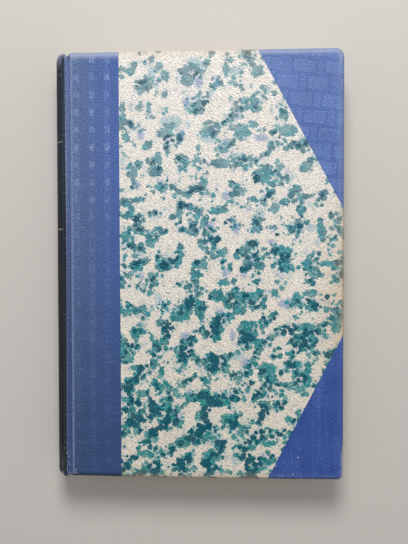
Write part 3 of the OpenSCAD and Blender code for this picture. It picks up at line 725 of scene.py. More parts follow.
def end_path(end, corner_r, depth, flap, low_r=0.3):
    """From near an end out, round and in again by the flap: distance along y, depth below the face, and
    length past the face."""
    rows = [(end - corner_r - back, 0.0, -back) for back in (4.0, 2.6, 1.4, 0.6)]
    for k in range(7):
        a = math.pi / 2 * k / 6
        y = end - corner_r + corner_r * math.sin(a)
        rows.append((y, corner_r - corner_r * math.cos(a), corner_r * a))
    length = corner_r * math.pi / 2
    wall = max(depth - corner_r - low_r, 0.02)
    rows.append((end, corner_r + wall / 2, length + wall / 2))
    for k in range(4):
        a = math.pi / 2 * k / 3
        y = end - low_r + low_r * math.cos(a)
        rows.append((y, corner_r + wall + low_r * math.sin(a), length + wall + low_r * a))
    length += wall + low_r * math.pi / 2
    for back in (1.0, 2.5, 5.0, 9.0):
        share = back / 9.0 * (flap - low_r)
        rows.append((end - low_r - share, corner_r + wall + low_r, length + share))
    return rows


def wrapped_sheet(name, line, outward, along, ends, front, uneven):
    """A sheet that follows a line across the book, and turns over at tail and head. Each point of the line
    has its outward direction, its way along the flat cloth, and in ends its (tail, head) settings for
    end_path. uneven(points, facts) moves the points before the mesh is made."""
    points, co, rim = [], [], []
    for (x, z), (out_x, out_z), across, settings in zip(line, outward, along, ends):
        tail, head = (end_path(*values) for values in settings)
        middle = [(y, 0.0, -4.0) for y in np.linspace(-tail[0][0], head[0][0], 150)[1:-1]]
        for y, depth, past in [(-y, *others) for y, *others in reversed(tail)] + middle + head:
            points.append((x - out_x * depth, y, z - out_z * depth))
            end, corner_r = settings[0 if y < 0 else 1][:2]
            co.append((across, math.copysign(end - corner_r + past, y) if past > 0 else y, 0.0))
            rim.append(past)
    faces = [tuple(reversed(f)) for f in grid_faces(len(line), len(points) // len(line))]
    points, facts = np.array(points), {"co": np.array(co), "rim": np.array(rim)}
    uneven(points, facts)
    return make_mesh(name, points, faces, front, facts)


def quarter_cloth(front, material):
    """The cloth from the spine's ridge through the groove to its lap on the board, turned in at its ends."""
    line = joint_profile()
    tangent = np.gradient(line, axis=0)
    tangent /= np.hypot(tangent[:, 0], tangent[:, 1])[:, None]
    outward = np.column_stack([-tangent[:, 1], tangent[:, 0]])
    length = np.concatenate([[0], np.cumsum(np.hypot(*np.diff(line, axis=0).T))])
    on_board = int(np.argmax(line[:, 0] > BOARD_X + 0.9))
    along = length - length[on_board] + line[on_board, 0] - BOARD_X
    ends = []
    for x in line[:, 0]:
        board = float(step(x, BOARD_X - 0.6, BOARD_X + 0.5))
        groove = math.exp(-((x - BOARD_X + GROOVE_BACK) / 0.8) ** 2)
        ridge = 1 - float(step(x, SPINE_BULGE + 0.3, SPINE_BULGE + 2.0))
        corner = 0.35 + 1.3 * board
        depth = 0.75 + 2.25 * board
        flap = 5 + 10 * board
        head = CASE_END - 0.35 * ridge - 1.5 * groove
        tail = CASE_END + 0.5 * ridge - 0.4 * groove
        ends.append(((tail, corner, depth, flap), (head, corner, depth, flap)))

    def uneven(points, facts):
        # a ridge that swells halfway along, a wavering joint, and a face and edges a little sunk
        s, y = facts["co"][:, 0], facts["co"][:, 1]
        seam = 1 - step(np.abs(points[:, 0] - 7.8), 1.5, 3.2)
        middle = np.cos(np.pi * np.clip(y / BOARD_H - 0.04, -0.5, 0.5)) ** 2
        points[:, 0] += 0.3 * middle * (1 - step(np.abs(points[:, 0] - SPINE_BULGE - 0.4), 0.3, 1.2))
        points[:, 2] += seam * (0.06 * waves(s, y, 41, 14) + 0.035 * waves(s, y, 42, 4))
        face = step(-facts["rim"], 0.0, 3.0) * step(points[:, 0], 11, 20)
        points[:, 2] -= 0.03 * face * (1 + waves(s, y, 43, 40))
        points[:, 2] -= soft_edge(facts["rim"], CLOTH_T) * step(points[:, 0], BOARD_X - 0.3, BOARD_X + 0.7)
        bow(points)

    obj = wrapped_sheet(SIDE[front] + "_quarter_cloth_sheet", line, outward, along, ends, front, uneven)
    finish_piece(obj, material, CLOTH_SHEET_T)
    start = ((SPINE_BULGE + 0.4 - OVERALL_W / 2) / 1000, 0, 0)
    end = ((BOARD_X - OVERALL_W / 2) / 1000, 0, 0)
    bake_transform(obj)
    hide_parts(SIDE[front] + "_quarter_cloth")


def cap_end(x, full, cap_r):
    """Where the spine's end lies at a distance from its outermost line, in plan."""
    if x >= cap_r:
        return full
    return full - cap_r + math.sqrt(max(cap_r ** 2 - (cap_r - x) ** 2, 0))


def spine_case(material):
    """The cloth over the spine, with rounded caps at its ends."""
    span = RIDGE_ANGLE - math.radians(1.2)
    turns = np.linspace(-span, span, 61)
    line = np.column_stack([SPINE_R - SPINE_R * np.cos(turns), SPINE_R * np.sin(turns)])
    outward = np.column_stack([-np.cos(turns), np.sin(turns)])
    along = SPINE_R * turns
    ends = []
    for x, turn in zip(line[:, 0], turns):
        wobble = 0.14 * math.sin(turn * 9 + 1) + 0.09 * math.sin(turn * 23)
        head = cap_end(x, CASE_END - 0.25, HEAD_CAP_R) + wobble * 0.6
        tail = cap_end(x, CASE_END + 0.5, TAIL_CAP_R) + 0.05 * math.sin(turn * 17)
        ends.append(((tail, CARD_EDGE_R, 1.4, 12, 0.6), (head, CARD_EDGE_R, 1.4, 12, 0.6)))

    def uneven(points, facts):
        s, y = facts["co"][:, 0], facts["co"][:, 1]
        face = step(-facts["rim"], -1.0, 2.0)
        hollows = 0.03 * (1 + waves(s, y, 51, 22)) + 0.02 * (1 + waves(s, y, 52, 6))
        scale = 1 - face * hollows / SPINE_R
        points[:, 0] = SPINE_R - (SPINE_R - points[:, 0]) * scale
        points[:, 2] *= scale

    obj = wrapped_sheet("spine_cloth_case", line, outward, along, ends, True, uneven)
    face_outwards(obj)
    finish_piece(obj, material, CLOTH_SHEET_T)
    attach(obj, "book_block")
    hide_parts("spine_cloth")


def line_height(drop, turn):
    """How high on the spine a line lies at an angle about the spine's axis: not quite level across it."""
    lean = (LINE_DROPS[1] - drop) / (LINE_DROPS[1] - LINE_DROPS[0])
    return CASE_END - drop + 0.5 * lean * math.sin(turn) + 0.05 * math.sin(turn * 5 + drop)


def gilt_lines(material):
    """Two thin lines of foil round the spine, each in a few unbroken stretches."""
    rng = np.random.default_rng(61)
    points, faces, co = [], [], []
    r = SPINE_R - 0.02
    span = RIDGE_ANGLE - math.radians(2.4)
    for drop in LINE_DROPS:
        at = -span
        while at < span:
            reach = min(at + rng.uniform(0.25, 0.8), span)
            count = max(int((reach - at) / 0.03), 3)
            first = len(points)
            for turn in np.linspace(at, reach, count):
                near = min(turn - at, reach - turn) / 0.04
                half = LINE_HALF_W * min(1.0, 0.35 + near) * rng.uniform(0.86, 1.0)
                for side in (-half, half):
                    y = line_height(drop, turn) + side
                    points.append((SPINE_R - r * math.cos(turn), y, r * math.sin(turn)))
                    co.append((SPINE_R * turn, y, 0))
            faces += grid_faces(count, 2, first)
            at = reach + rng.uniform(0.004, 0.016)
    obj = make_mesh("spine_gilt_bands", np.array(points), faces, True, {"co": np.array(co)})
    face_outwards(obj)
    finish_piece(obj, material, thickness=0.03)
    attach(obj, "book_block")
    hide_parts("spine_gold_lines")


# The book block
def block_point(a, b, c):
    """A point of the page block, for shares a across, b along and c through it."""
    z = PAGES_T * (c - 0.5)
    fore = FORE_X + FORE_R - FORE_HOLLOW - math.sqrt(FORE_R ** 2 - z * z)
    spine = SPINE_R - math.sqrt(PAGES_R ** 2 - (z * (1 + SHOULDER_FLARE)) ** 2)
    x = spine + (fore - spine) * a
    flare = 1 + SHOULDER_FLARE * (1 - float(step(x, SHOULDER_X, FLAT_X)))
    return x, PAGES_H * (b - 0.5), z * flare


def page_block(material):
    """The pages, whose leaves stand out unevenly at the fore-edge, head and tail."""
    # steps across, along and through the block
    na, nb, nc = 44, 84, 72
    rng = np.random.default_rng(71)
    slip_x = np.repeat(rng.normal(0, 0.05, nc // 3 + 1), 3)[: nc + 1] + rng.normal(0, 0.035, nc + 1)
    slip_y = np.repeat(rng.normal(0, 0.04, nc // 3 + 1), 3)[: nc + 1] + rng.normal(0, 0.03, nc + 1)
    near_spine = np.linspace(0, 0.07, 12)
    shares_a = np.concatenate([near_spine, np.linspace(0.07, 1, na + 2 - len(near_spine))[1:]])
    index, points, faces = {}, [], []

    def vertex(i, j, k):
        if (i, j, k) not in index:
            index[(i, j, k)] = len(points)
            x, y, z = block_point(shares_a[i], j / nb, k / nc)
            if i == na:
                x += slip_x[k]
            if j in (0, nb):
                y += slip_y[k] + 0.05 * math.sin(shares_a[i] * 9 + k * 0.35)
            points.append((x, y, z))
        return index[(i, j, k)]

    def side(rows, columns, corner):
        for p in range(rows):
            for q in range(columns):
                around = ((p, q), (p, q + 1), (p + 1, q + 1), (p + 1, q))
                faces.append(tuple(vertex(*corner(*place)) for place in around))

    side(nb, nc, lambda p, q: (0, p, q))
    side(nc, nb, lambda p, q: (na, q, p))
    side(nc, na, lambda p, q: (q, 0, p))
    side(na, nc, lambda p, q: (p, nb, q))
    side(na, nb, lambda p, q: (p, q, 0))
    side(nb, na, lambda p, q: (q, p, nc))
    points = np.array(points)
    obj = make_mesh("page_block", points, faces, True, {"co": points})
    face_outwards(obj)
    finish_piece(obj, material, sharp=35)
    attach(obj, "book_block")
    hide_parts("pages")


def endpaper_joint(front, material):
    """The fold of an endpaper, from the leaf on the pages round to the leaf inside the cover."""
    gap = 0.012
    low, high = extent("front_flyleaf", 2)[1] + gap, extent("front_pastedown", 2)[0] - gap
    lap, fold_x, nose_w, nose_h = 4.0, BOARD_X - 0.05, 1.48, 1.08
    path = [(fold_x + lap, low), (fold_x, low)]
    for a in np.linspace(np.pi / 2, 0, 9):
        path.append((fold_x - nose_w * np.sin(a), high + nose_h * (1 - np.cos(a))))
    path.append((fold_x + lap, high))
    ys = np.linspace(-PAGES_H / 2, PAGES_H / 2, 60)
    points = [(x, y, z) for x, z in path for y in ys]
    faces = grid_faces(len(path), len(ys))
    obj = make_mesh(SIDE[front] + "_endpaper_joint", np.array(points), faces, front)
    finish_piece(obj, material, thickness=0.01)
    start, end = (to_frame([(0, 0, level)], front)[0] for level in (low, high))
    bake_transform(obj)


def sewn_band(head, material):
    """A round bead of thread wound over a cord, along the spine's end of the leaves."""
    radius = 0.8
    middle = (PAGES_H / 2 + radius) * (1 if head else -1)
    centre_r = PAGES_R - radius
    span = math.asin(PAGES_T / 2 / PAGES_R)
    rows, around = 150, 12
    points, co = [], []
    for i in range(rows):
        turn = -span + 2 * span * i / (rows - 1)
        taper = min(1.0, min(i, rows - 1 - i) / 4.0 + 0.25)
        for j in range(around):
            a = math.tau * j / around
            r = radius * taper * (1 + 0.09 * math.sin(i * math.pi / 1.5 + a * 0.5))
            reach = centre_r + r * math.cos(a)
            x, z = SPINE_R - reach * math.cos(turn), reach * math.sin(turn)
            points.append((x, middle + r * math.sin(a), z))
            co.append((centre_r * turn, a, 0))
    faces = grid_faces(rows, around, closed=True)
    faces.append(tuple(range(around)))
    faces.append(tuple(reversed(range((rows - 1) * around, rows * around))))
    name = "head_band_thread" if head else "tail_band_thread"
    obj = make_mesh(name, np.array(points), faces, True, {"co": np.array(co)})
    face_outwards(obj)
    finish_piece(obj, material, sharp=60)
    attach(obj, "book_block")
    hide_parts("head_band" if head else "tail_band")


# Materials. In them s runs across the cover from the board's edge at the joint, and y from tail to head.
def crowding(g, place):
    """How close the blots lie at a place: above zero in patches, and more so towards the tail."""
    patches = g.noise(g.turn(place, 36, (1.25, 0.85, 1)), 0.108, 2, 0.55) * 3.1
    return patches + g.smooth(g.parts(place)[1], -115, 115, 0.06, -0.22)


def sponged(g, place, pitch, radius, angle, crowd):
    """How far inside round dots a place lies, in mm, and three chances of its own for each dot."""
    shift = (pitch * 3, 0, 0)
    distance, chance, centre = g.cells(g.turn(place, angle, place=shift), 1 / pitch)
    chance = g.parts(chance)
    # the cell's own centre, back in the paper's coordinates, so that a dot is there in whole or not at all
    centre = g.turn(centre, angle, place=shift, kind="POINT")
    size = g.smooth(crowding(g, centre) + chance[0] * 0.1, *crowd, 0.0, radius)
    size = size * (chance[1] * 0.5 + 0.7)
    return size - (distance * pitch + 0.45), chance


def side_paper_material():
    """Cream paper with an embossed slanting grain, and sponged blots of blue and green with lobed edges."""
    g = Graph("side_paper", roughness=0.7, specular=0.15)
    co = g.read("co", True)
    s, y, _ = g.parts(co)
    mottle = g.noise(co, 0.11, 4, 0.6)
    # darker and warmer towards the tail: partly painted shade for the light falling off from the head, partly
    # the paper's own tone
    paper = g.lighten(g.mix(g.smooth(y, -100, 90), (226, 217, 202), (233, 227, 219)), mottle * 0.08)
    stirred = g.stir(g.stir(co, 0.45, 1.8), 1.3, 0.7)
    crowd = crowding(g, co)
    # round dots of three sizes, which crowd and run together in patches, and the listed blots
    dots, chance = sponged(g, stirred, pitch=4.4, radius=2.75, angle=0, crowd=(0.02, 0.50))
    middling, middle_chance = sponged(g, stirred, pitch=3.1, radius=2.05, angle=31, crowd=(-0.20, 0.20))
    small = sponged(g, stirred, pitch=2.6, radius=1.5, angle=67, crowd=(-0.12, 0.12))[0]
    rough = g.noise(co, 0.75, 2, 0.55) * 1.6
    noted = g.read("teal") + rough * 2.0 + (g.noise(stirred, 0.3, 2) * 4.4 - 0.25)
    blots = g.most(dots, middling, small, noted)
    # washes of thinned colour
    thin = g.noise(co, 0.26, 3, 0.6) * 2.6 + crowd * 0.9
    near = g.smooth(blots + rough * 0.6, -1.1, 0.2)
    wash = g.most(g.smooth(thin, -0.1, 0.6), g.smooth(g.read("wash") + rough, -1.0, 1.5))
    wash = g.most(wash, near * 0.6)
    green = g.mix(g.smooth(g.noise(co, 0.2, 2), -0.12, 0.12), (80, 166, 174), (112, 172, 200))
    colour = g.mix(wash * 0.5, paper, green)
    # paler violet patches
    violet = g.noise(g.turn(co, 0, place=(40, 9, 0)), 0.17, 3, 0.6) * 3.2 + rough * 0.5 + crowd * 0.3
    pale = g.read("pale") + rough * 1.5
    violet = g.most(g.smooth(violet, 0.18, 0.85), g.smooth(pale, -1.0, 1.1))
    colour = g.mix(violet * 0.62, colour, (108, 144, 192))
    # the blots' own colours
    inked = g.smooth(blots + rough * 0.4, -0.16, 0.14)
    tone = g.mix(g.smooth(chance[1], 0.2, 0.8), (26, 130, 142), (56, 154, 164))
    patchy = g.smooth(g.noise(stirred, 0.6, 3, 0.7), -0.04, 0.10)
    tone = g.mix(patchy * 0.6, tone, (12, 104, 124))
    tone = g.mix(g.smooth(middle_chance[1] + rough * 0.3, 0.45, 0.75), tone, (22, 104, 122))
    tone = g.mix(g.smooth(y, 40, -80, 0.0, 0.6), tone, (18, 142, 134))
    strength = g.smooth(middle_chance[2], 0.0, 0.6, 0.8, 1.0) * g.smooth(y, -20, 120, 0.98, 0.66)
    colour = g.mix(inked * strength, colour, tone)
    deep = crowd * 1.3 + g.noise(stirred, 0.24, 3, 0.6) * 3.2 + middling * 0.25
    deep = deep + g.smooth(y, 20, -100, 0.0, 0.36)
    noted_deep = g.read("deep") + rough * 1.3 + g.noise(stirred, 0.3, 2) * 1.6
    deep = g.most(g.smooth(deep, 0.5, 0.74), g.smooth(noted_deep, -0.2, 0.35))
    deep = deep * g.smooth(y, 0, 110, 0.95, 0.66)
    deepest = g.mix(g.smooth(y, 60, -60), (4, 76, 100), (0, 86, 104))
    colour = g.mix(deep * inked, colour, deepest)
    # the grain: broken slanting ridges, where the colour lies thinner
    wavy = g.stir(g.stir(co, 0.2, 2.0), 0.8, 1.3)
    ridges = g.math("SINE", g.parts(g.turn(wavy, -25))[1] * (math.tau / 1.15))
    broken = g.smooth(g.noise(g.turn(wavy, -25, (1.8, 1, 1)), 0.7, 2), -0.15, 0.1, 0.0, 1.0)
    strokes = g.noise(g.turn(wavy, -25, (1.8, 0.5, 1)), 1.1, 2, 0.6)
    grain = ridges * broken * 0.36 + strokes * 2.1 + g.noise(co, 1.7, 1) * 2.4
    colour = g.lighten(colour, grain * 0.58 - 0.03)
    fleck = g.smooth(grain + g.noise(co, 2.2, 2), 0.2, 0.7) * (deep * -0.42 + 0.56)
    colour = g.mix(fleck * inked, colour, (168, 208, 206))
    # worn at its edges, soiled beside them, and browned towards the fore-edge
    rim = g.read("rim")
    worn = g.smooth(rim + g.noise(co, 0.5, 3) * 2.6, 0.3, 1.5) * g.smooth(y, 60, -60, 0.2, 0.62)
    colour = g.mix(worn, colour, (168, 140, 108))
    soiled = g.smooth(rim + g.noise(co, 0.14, 3) * 5.0, -3.6, 1.2)
    colour = g.mix(soiled * 0.24, colour, (190, 166, 128))
    browned = g.smooth(s + g.noise(co, 0.1, 3) * 14, 116, 137) * g.smooth(y, 50, -20, 0.05, 0.4)
    browned = browned * g.smooth(inked, 0, 1, 1.0, 0.15)
    colour = g.mix(browned, colour, (200, 172, 134))
    g.bump(grain + mottle * 1.2, 0.11, 0.8)
    g.feed(g.shader.inputs["Roughness"], g.smooth(inked, 0, 1, 0.68, 0.55))
    return g.done(colour)


def cloth_grain(g, co):
    """A fine cloth's weave, mostly of threads that lie across the book, and its broad unevenness."""
    across = g.noise(g.turn(co, 0, (1.9, 0.65, 1)), 1.2, 2, 0.6)
    weave = g.noise(co, 1.9, 1, 0.5) * 3.2 + across * 1.5
    return weave, g.noise(co, 0.07, 4, 0.65)


def specks(g, co, pitch, share, radius):
    """Round specks of up to the radius, in a share of the cells of the pitch."""
    distance, chance, _ = g.cells(co, 1 / pitch)
    chosen, size, _ = g.parts(chance)
    inside = size * (radius * 0.6) + radius * 0.4 - distance * pitch
    return g.smooth(inside, -0.06, 0.1) * g.math("LESS_THAN", chosen, share)


def small_squares(g, co, pitch, place, share):
    """Faded squares in rows and columns, each with its own strength: their pitch across and along the book,
    the place of one, and the share of the pitch that they fill each way."""
    moved = g.turn(co, 0, (*pitch, 1), (place[0] - pitch[0] / 2, place[1] - pitch[1] / 2, 0))
    sides = []
    for value, width in zip(g.parts(moved), share):
        off = abs(g.math("FRACT", value) - 0.5)
        sides.append(g.smooth(off, width / 2 + 0.05, width / 2 - 0.04))
    strength = g.smooth(g.noise(moved, 0.9, 2), -0.14, 0.10, 0.3, 1.0)
    return sides[0] * sides[1] * strength


def head_fold(g, co, rim):
    """The cloth's fold over the board's edge, ragged."""
    return g.smooth(abs(rim + (g.noise(co, 1.3, 3, 0.7) * 1.6 - 0.2)), 1.3, 0.2)


def quarter_cloth_material():
    """Blue book cloth down the covers' spine side, faded in rows of small squares and rubbed at its edges,
    with painted shade and painted highlights.
    """
    g = Graph("quarter_cloth", roughness=0.62, specular=0.35, sheen=0.12, sheen_roughness=0.4)
    co = g.read("co", True)
    s, y, _ = g.parts(co)
    weave, cloudy = cloth_grain(g, co)
    colour = g.mix(g.smooth(s, 2, 22), (82, 103, 146), (70, 97, 160))
    # darker towards the tail: painted shade for the light falling off from the head, partly the cloth's own
    # tone
    colour = g.mix(g.smooth(y, 70, -110, 0, 0.85), colour, (40, 66, 110))
    colour = g.lighten(colour, cloudy * 0.35)
    # the joint groove, the board's edge beside it and the spine's ridge
    # the groove's colour is painted light: lightened against the shade of its walls, lighter at the head and
    # darker towards the tail
    painted_groove_light = g.mix(g.smooth(y, 90, -60), (92, 111, 156), (60, 81, 126))
    colour = g.mix(g.smooth(s, 0.2, -0.5), colour, painted_groove_light)
    # the pale line along the board's edge is partly wear and partly a painted highlight
    wear_and_highlight = g.smooth(g.noise(g.turn(co, 0, (0.8, 2.0, 1)), 1.0, 3, 0.7), -0.22, 0.12, 0.3, 1.0)
    edge = g.smooth(s, 1.5, 0.4) * g.smooth(s, -0.7, 0.1)
    colour = g.mix(edge * wear_and_highlight * 0.7, colour, (138, 156, 194))
    # past the ridge the cloth is painted dark: painted shade of the spine's side, which faces away from the
    # light, darker towards the tail
    ridge = g.smooth(s + g.noise(co, 0.5, 2) * 0.5, -RIDGE_S + 0.2, -RIDGE_S - 0.2)
    colour = g.mix(ridge * 0.95, colour, g.mix(g.smooth(y, 80, 0), (34, 42, 60), (18, 23, 30)))
    top = g.smooth(s, -RIDGE_S + 0.8, -RIDGE_S + 0.35) * g.smooth(s, -RIDGE_S - 0.3, -RIDGE_S + 0.1)
    bright = g.smooth(abs(y - 47.0), 34, 8, 0.5, 1.0)
    broken = g.smooth(g.noise(g.turn(co, 0, (1, 1.3, 1)), 1.3, 3, 0.7), -0.14, 0.12)
    colour = g.mix(top * broken * bright, colour, (164, 174, 200))
    # faded squares, the fainter columns that join them, and pale threads across
    squares = small_squares(g, g.stir(co, 0.7, 1.6), pitch=(7.8, 8.75), place=(2.9, 85.5), share=(0.30, 0.36))
    squares = squares * g.smooth(y, -10, 60, 0.12, 0.85)
    columns = small_squares(g, g.stir(co, 0.3, 1.4), pitch=(7.8, 60), place=(2.9, 0), share=(0.4, 2.0))
    columns = columns * g.smooth(y, -95, 10, 0.15, 1.0)
    dashes = g.smooth(g.noise(g.turn(co, 0, (2.0, 0.7, 1)), 1.2, 2), -0.12, 0.14)
    streak = g.smooth(g.noise(g.turn(co, 2, (9, 0.7, 1)), 0.8, 3, 0.7), 0.10, 0.20)
    faded = (squares * 0.54 + columns * dashes * 0.24) * g.smooth(s, 0.6, 1.6) + streak * 0.34
    colour = g.mix(faded * (weave * 0.4 + 0.85), colour, (134, 156, 200))
    colour = g.lighten(colour, weave * g.smooth(y, -110, 20, 0.5, 0.72))
    # worn pale and painted as a highlight at the head edge, painted shade at the tail edge, and specked
    rim = g.read("rim")
    # the pale band at the head edge is partly wear and partly a painted highlight on the rounded edge
    worn = g.smooth(rim + g.noise(co, 0.9, 3, 0.7) * 2.6, -2.6, 0.2) * g.smooth(y, -60, 60, 0.0, 0.56)
    colour = g.mix(worn, colour, g.lighten((162, 171, 193), weave * 0.4))
    # the pale fold over the head edge is partly wear and partly a painted highlight
    colour = g.mix(head_fold(g, co, rim) * g.smooth(y, 96, 104, 0.0, 0.22), colour, (186, 194, 206))
    shade = g.smooth(rim, -1.2, 0.8) * g.smooth(y, -60, -100, 0.0, 0.7)
    colour = g.mix(shade, colour, (22, 32, 56))
    # painted shade at the groove's end by the head
    painted_notch_shade = g.smooth(abs(s + 1.9), 1.2, 0.4) * g.smooth(rim, -3.4, -0.6) * g.smooth(y, 60, 100, 0.0, 0.75)
    colour = g.mix(painted_notch_shade, colour, (26, 34, 56))
    tail_joint = g.smooth(s, 3.4, 1.6) * g.smooth(y, -86, -97)
    colour = g.mix(specks(g, co, pitch=1.4, share=0.26, radius=0.4) * tail_joint, colour, (168, 176, 188))
    speck = g.noise(co, 0.95, 3, 0.7) + g.smooth(rim, -4, 3, 0.0, 0.1)
    colour = g.mix(g.smooth(speck, 0.26, 0.31) * 0.75, colour, (186, 192, 204))
    g.bump(weave + cloudy * 2.0, 0.08, 0.8)
    return g.done(colour)


def basket(g, co):
    """Worn blocks as in a basket: long ones across the book in staggered rows, upright ones between."""
    moved = g.turn(g.stir(co, 0.16, 2.6), -6, (15.8, 8.1, 1), (-4.65, 0.9, 0))
    u, v, _ = g.parts(moved)
    stagger = g.math("MODULO", abs(g.math("FLOOR", v)), 2.0) * 0.5
    # whole rows and columns are added, so that no part of the cloth lies below zero
    across = abs(g.math("FRACT", u + stagger + 100.0) - 0.5)
    up = abs(g.math("FRACT", v + 100.0) - 0.5)
    block = g.smooth(across, 0.33, 0.29) * g.smooth(up, 0.37, 0.3)
    post = g.smooth(across, 0.38, 0.41) * g.smooth(up, 0.5, 0.44)
    return block, post


def corner_cloth_material(name, dark, light, head):
    """The same cloth, less faded, with a worn basket of blocks or faint bands, and pale chips at its edge."""
    g = Graph(name, roughness=0.56, specular=0.38, sheen=0.12, sheen_roughness=0.4)
    co = g.read("co", True)
    s, y, _ = g.parts(co)
    rim = g.read("rim")
    weave, cloudy = cloth_grain(g, co)
    colour = g.mix(g.smooth(cloudy, -0.2, 0.25), dark, light)
    if head:
        block, post = basket(g, co)
        rim_of_block = block * g.smooth(block, 1.0, 0.5) * 2.6
        share = g.smooth(g.noise(co, 0.09, 2), -0.16, 0.08, 0.5, 1.0)
        patches = share * (rim_of_block * 0.52 + (block * 0.44 + post * 0.32))
        relief = patches * (weave * 0.3 + 0.9)
        colour = g.mix(relief * 0.56, colour, (134, 156, 208))
        # lighter towards the head: painted light
        colour = g.mix(g.smooth(y, 60, 105, 0.0, 0.16), colour, (122, 142, 188))
    else:
        bands = g.noise(g.turn(co, 0, (1.0, 14, 1)), 0.35, 2)
        dashes = g.smooth(g.noise(g.turn(co, 0, (2.4, 0.8, 1)), 1.0, 2), -0.02, 0.16)
        relief = g.smooth(bands, -0.05, 0.2) * (dashes * 0.8 + 0.2)
        colour = g.mix(relief * 0.62, colour, (92, 122, 190))
    colour = g.lighten(colour, weave * (0.62 if head else 0.58))
    # rubbed at its edges, and painted as a highlight towards the head, less so down the fore-edge
    # the pale rim is partly wear and partly a painted highlight, strongest at the head
    wear_and_highlight = g.smooth(rim + g.noise(co, 0.7, 3, 0.7) * 2.4, -2.4, 0.2) * g.smooth(y, -60, 60, 0.12, 0.46)
    beside = g.smooth(s, BOARD_W - 5, BOARD_W - 1) * g.smooth(y, BOARD_H / 2 - 3, BOARD_H / 2 - 8)
    colour = g.mix(wear_and_highlight * (beside * -0.55 + 1.0), colour, (142, 154, 186))
    # the pale fold over the head edge is partly wear and partly a painted highlight
    colour = g.mix(head_fold(g, co, rim) * g.smooth(y, 96, 104, 0.0, 0.3), colour, (182, 191, 208))
    shade = g.smooth(rim, -2.0, 1.0) * g.smooth(y, -BOARD_H / 2 + 1.2, -BOARD_H / 2 - 0.2, 0.0, 0.7)
    colour = g.mix(shade, colour, (20, 30, 60))
    # chips and specks of bare board
    low_corner = g.smooth(y, -86, -94) * g.smooth(s, BOARD_W - 4, BOARD_W - 1)
    chips = rim + g.noise(co, 0.75, 4, 0.7) * 3.4 + low_corner * 1.5
    colour = g.mix(g.smooth(chips, 2.0, 2.5) * 0.6, colour, (186, 184, 178))
    if not head:
        spot = g.smooth(abs(s - 107.0), 16, 6, 0.25, 1.0) * g.smooth(y, -88, -98)
        colour = g.mix(specks(g, co, pitch=3.8, share=0.5, radius=0.42) * spot, colour, (178, 190, 214))
    speck = g.noise(co, 0.85, 3, 0.7) + g.smooth(rim, -4, 3, 0.0, 0.1)
    colour = g.mix(g.smooth(speck, 0.28, 0.32) * 0.75, colour, (190, 196, 206))
    g.bump(weave + (cloudy * 2.0 + relief), 0.08, 0.8)
    return g.done(colour)


def spine_cloth_material():
    """The spine's cloth, darkened all over as painted shade, greyed by handling, rubbed at its caps."""
    g = Graph("spine_cloth", roughness=0.7, specular=0.25)
    co = g.read("co", True)
    y = g.parts(co)[1]
    weave, cloudy = cloth_grain(g, co)
    # very dark all over: painted shade on the rounded spine, which faces away from the light, a little less
    # of it towards the head
    colour = g.lighten(g.mix(g.smooth(y, -60, 70), (22, 26, 33), (28, 37, 55)), cloudy * 0.5)
    soiled = g.smooth(g.noise(g.turn(co, 0, (1, 2.5, 1)), 0.28, 4, 0.7), 0.0, 0.2) * 0.35
    colour = g.mix(soiled, colour, (70, 68, 68))
    # the rubbed ends, with thin scuffs across them
    wander = g.noise(co, 0.45, 4, 0.7) * 7.0
    colour = g.mix(g.smooth(y + wander, 99, 105) * 0.7, colour, (134, 140, 168))
    colour = g.mix(g.smooth(y + wander * 1.4, -93, -100) * 0.35, colour, (84, 84, 90))
    scuffs = g.smooth(abs(g.noise(g.turn(co, 28, (1.6, 0.7, 1)), 0.22, 2, 0.5)), 0.014, 0.0)
    scuffs = scuffs * g.smooth(g.noise(co, 0.2, 2), -0.02, 0.08)
    colour = g.mix(scuffs * g.smooth(abs(y), 88, 94) * 0.65, colour, (150, 142, 136))
    frayed = g.smooth(g.read("rim") + g.noise(co, 0.9, 4, 0.7) * 3.0, -0.9, 0.7)
    colour = g.mix(frayed * 0.75, colour, (188, 184, 178))
    colour = g.lighten(colour, weave * 0.2)
    speck = g.smooth(g.noise(co, 0.8, 3, 0.7), 0.27, 0.31)
    colour = g.mix(speck * 0.5, colour, (160, 158, 156))
    # the shaded upper side of each pressed line
    for drop in LINE_DROPS:
        off = abs(y + (drop - CASE_END - 0.85))
        colour = g.mix(g.smooth(off, 0.7, 0.2, 0.0, 0.6), colour, (6, 8, 12))
    g.bump(weave + cloudy * 2.0, 0.07, 0.5)
    return g.done(colour)


def gilt_material():
    """Foil, dulled and rubbed."""
    g = Graph("gilt", roughness=0.5, specular=0.5, metallic=0.35)
    worn = g.smooth(g.noise(g.read("co", True), 1.4, 3, 0.6), -0.1, 0.15)
    return g.done(g.mix(worn, (96, 96, 96), (150, 148, 140)))


def page_edge_material():
    """Cut leaves: fine lines along the leaves, toned in broad patches."""
    g = Graph("page_edges", roughness=0.85, specular=0.2)
    place = g.place()
    lines = g.noise(g.turn(place, 0, (30, 30, 1)), 5.0, 3, 0.8)
    broad = g.noise(g.turn(place, 0, (50, 50, 1)), 0.9, 2)
    stain = g.noise(place, 0.04, 4, 0.6)
    colour = g.mix(g.smooth(stain, -0.2, 0.25), (219, 207, 180), (229, 219, 196))
    colour = g.lighten(g.lighten(colour, lines * 0.42), broad * 0.12)
    g.bump(lines, 0.2, 0.5)
    return g.done(colour)


def plain_paper_material(name, light, dark, fibre=0.04):
    """Plain paper, a little uneven."""
    g = Graph(name, roughness=0.85, specular=0.2)
    place = g.place()
    cloud = g.noise(place, 0.03, 4, 0.6)
    fine = g.noise(place, 1.2, 3, 0.7)
    colour = g.lighten(g.mix(g.smooth(cloud, -0.2, 0.25), dark, light), fine * fibre)
    g.bump(fine, 0.05, 0.3)
    return g.done(colour)


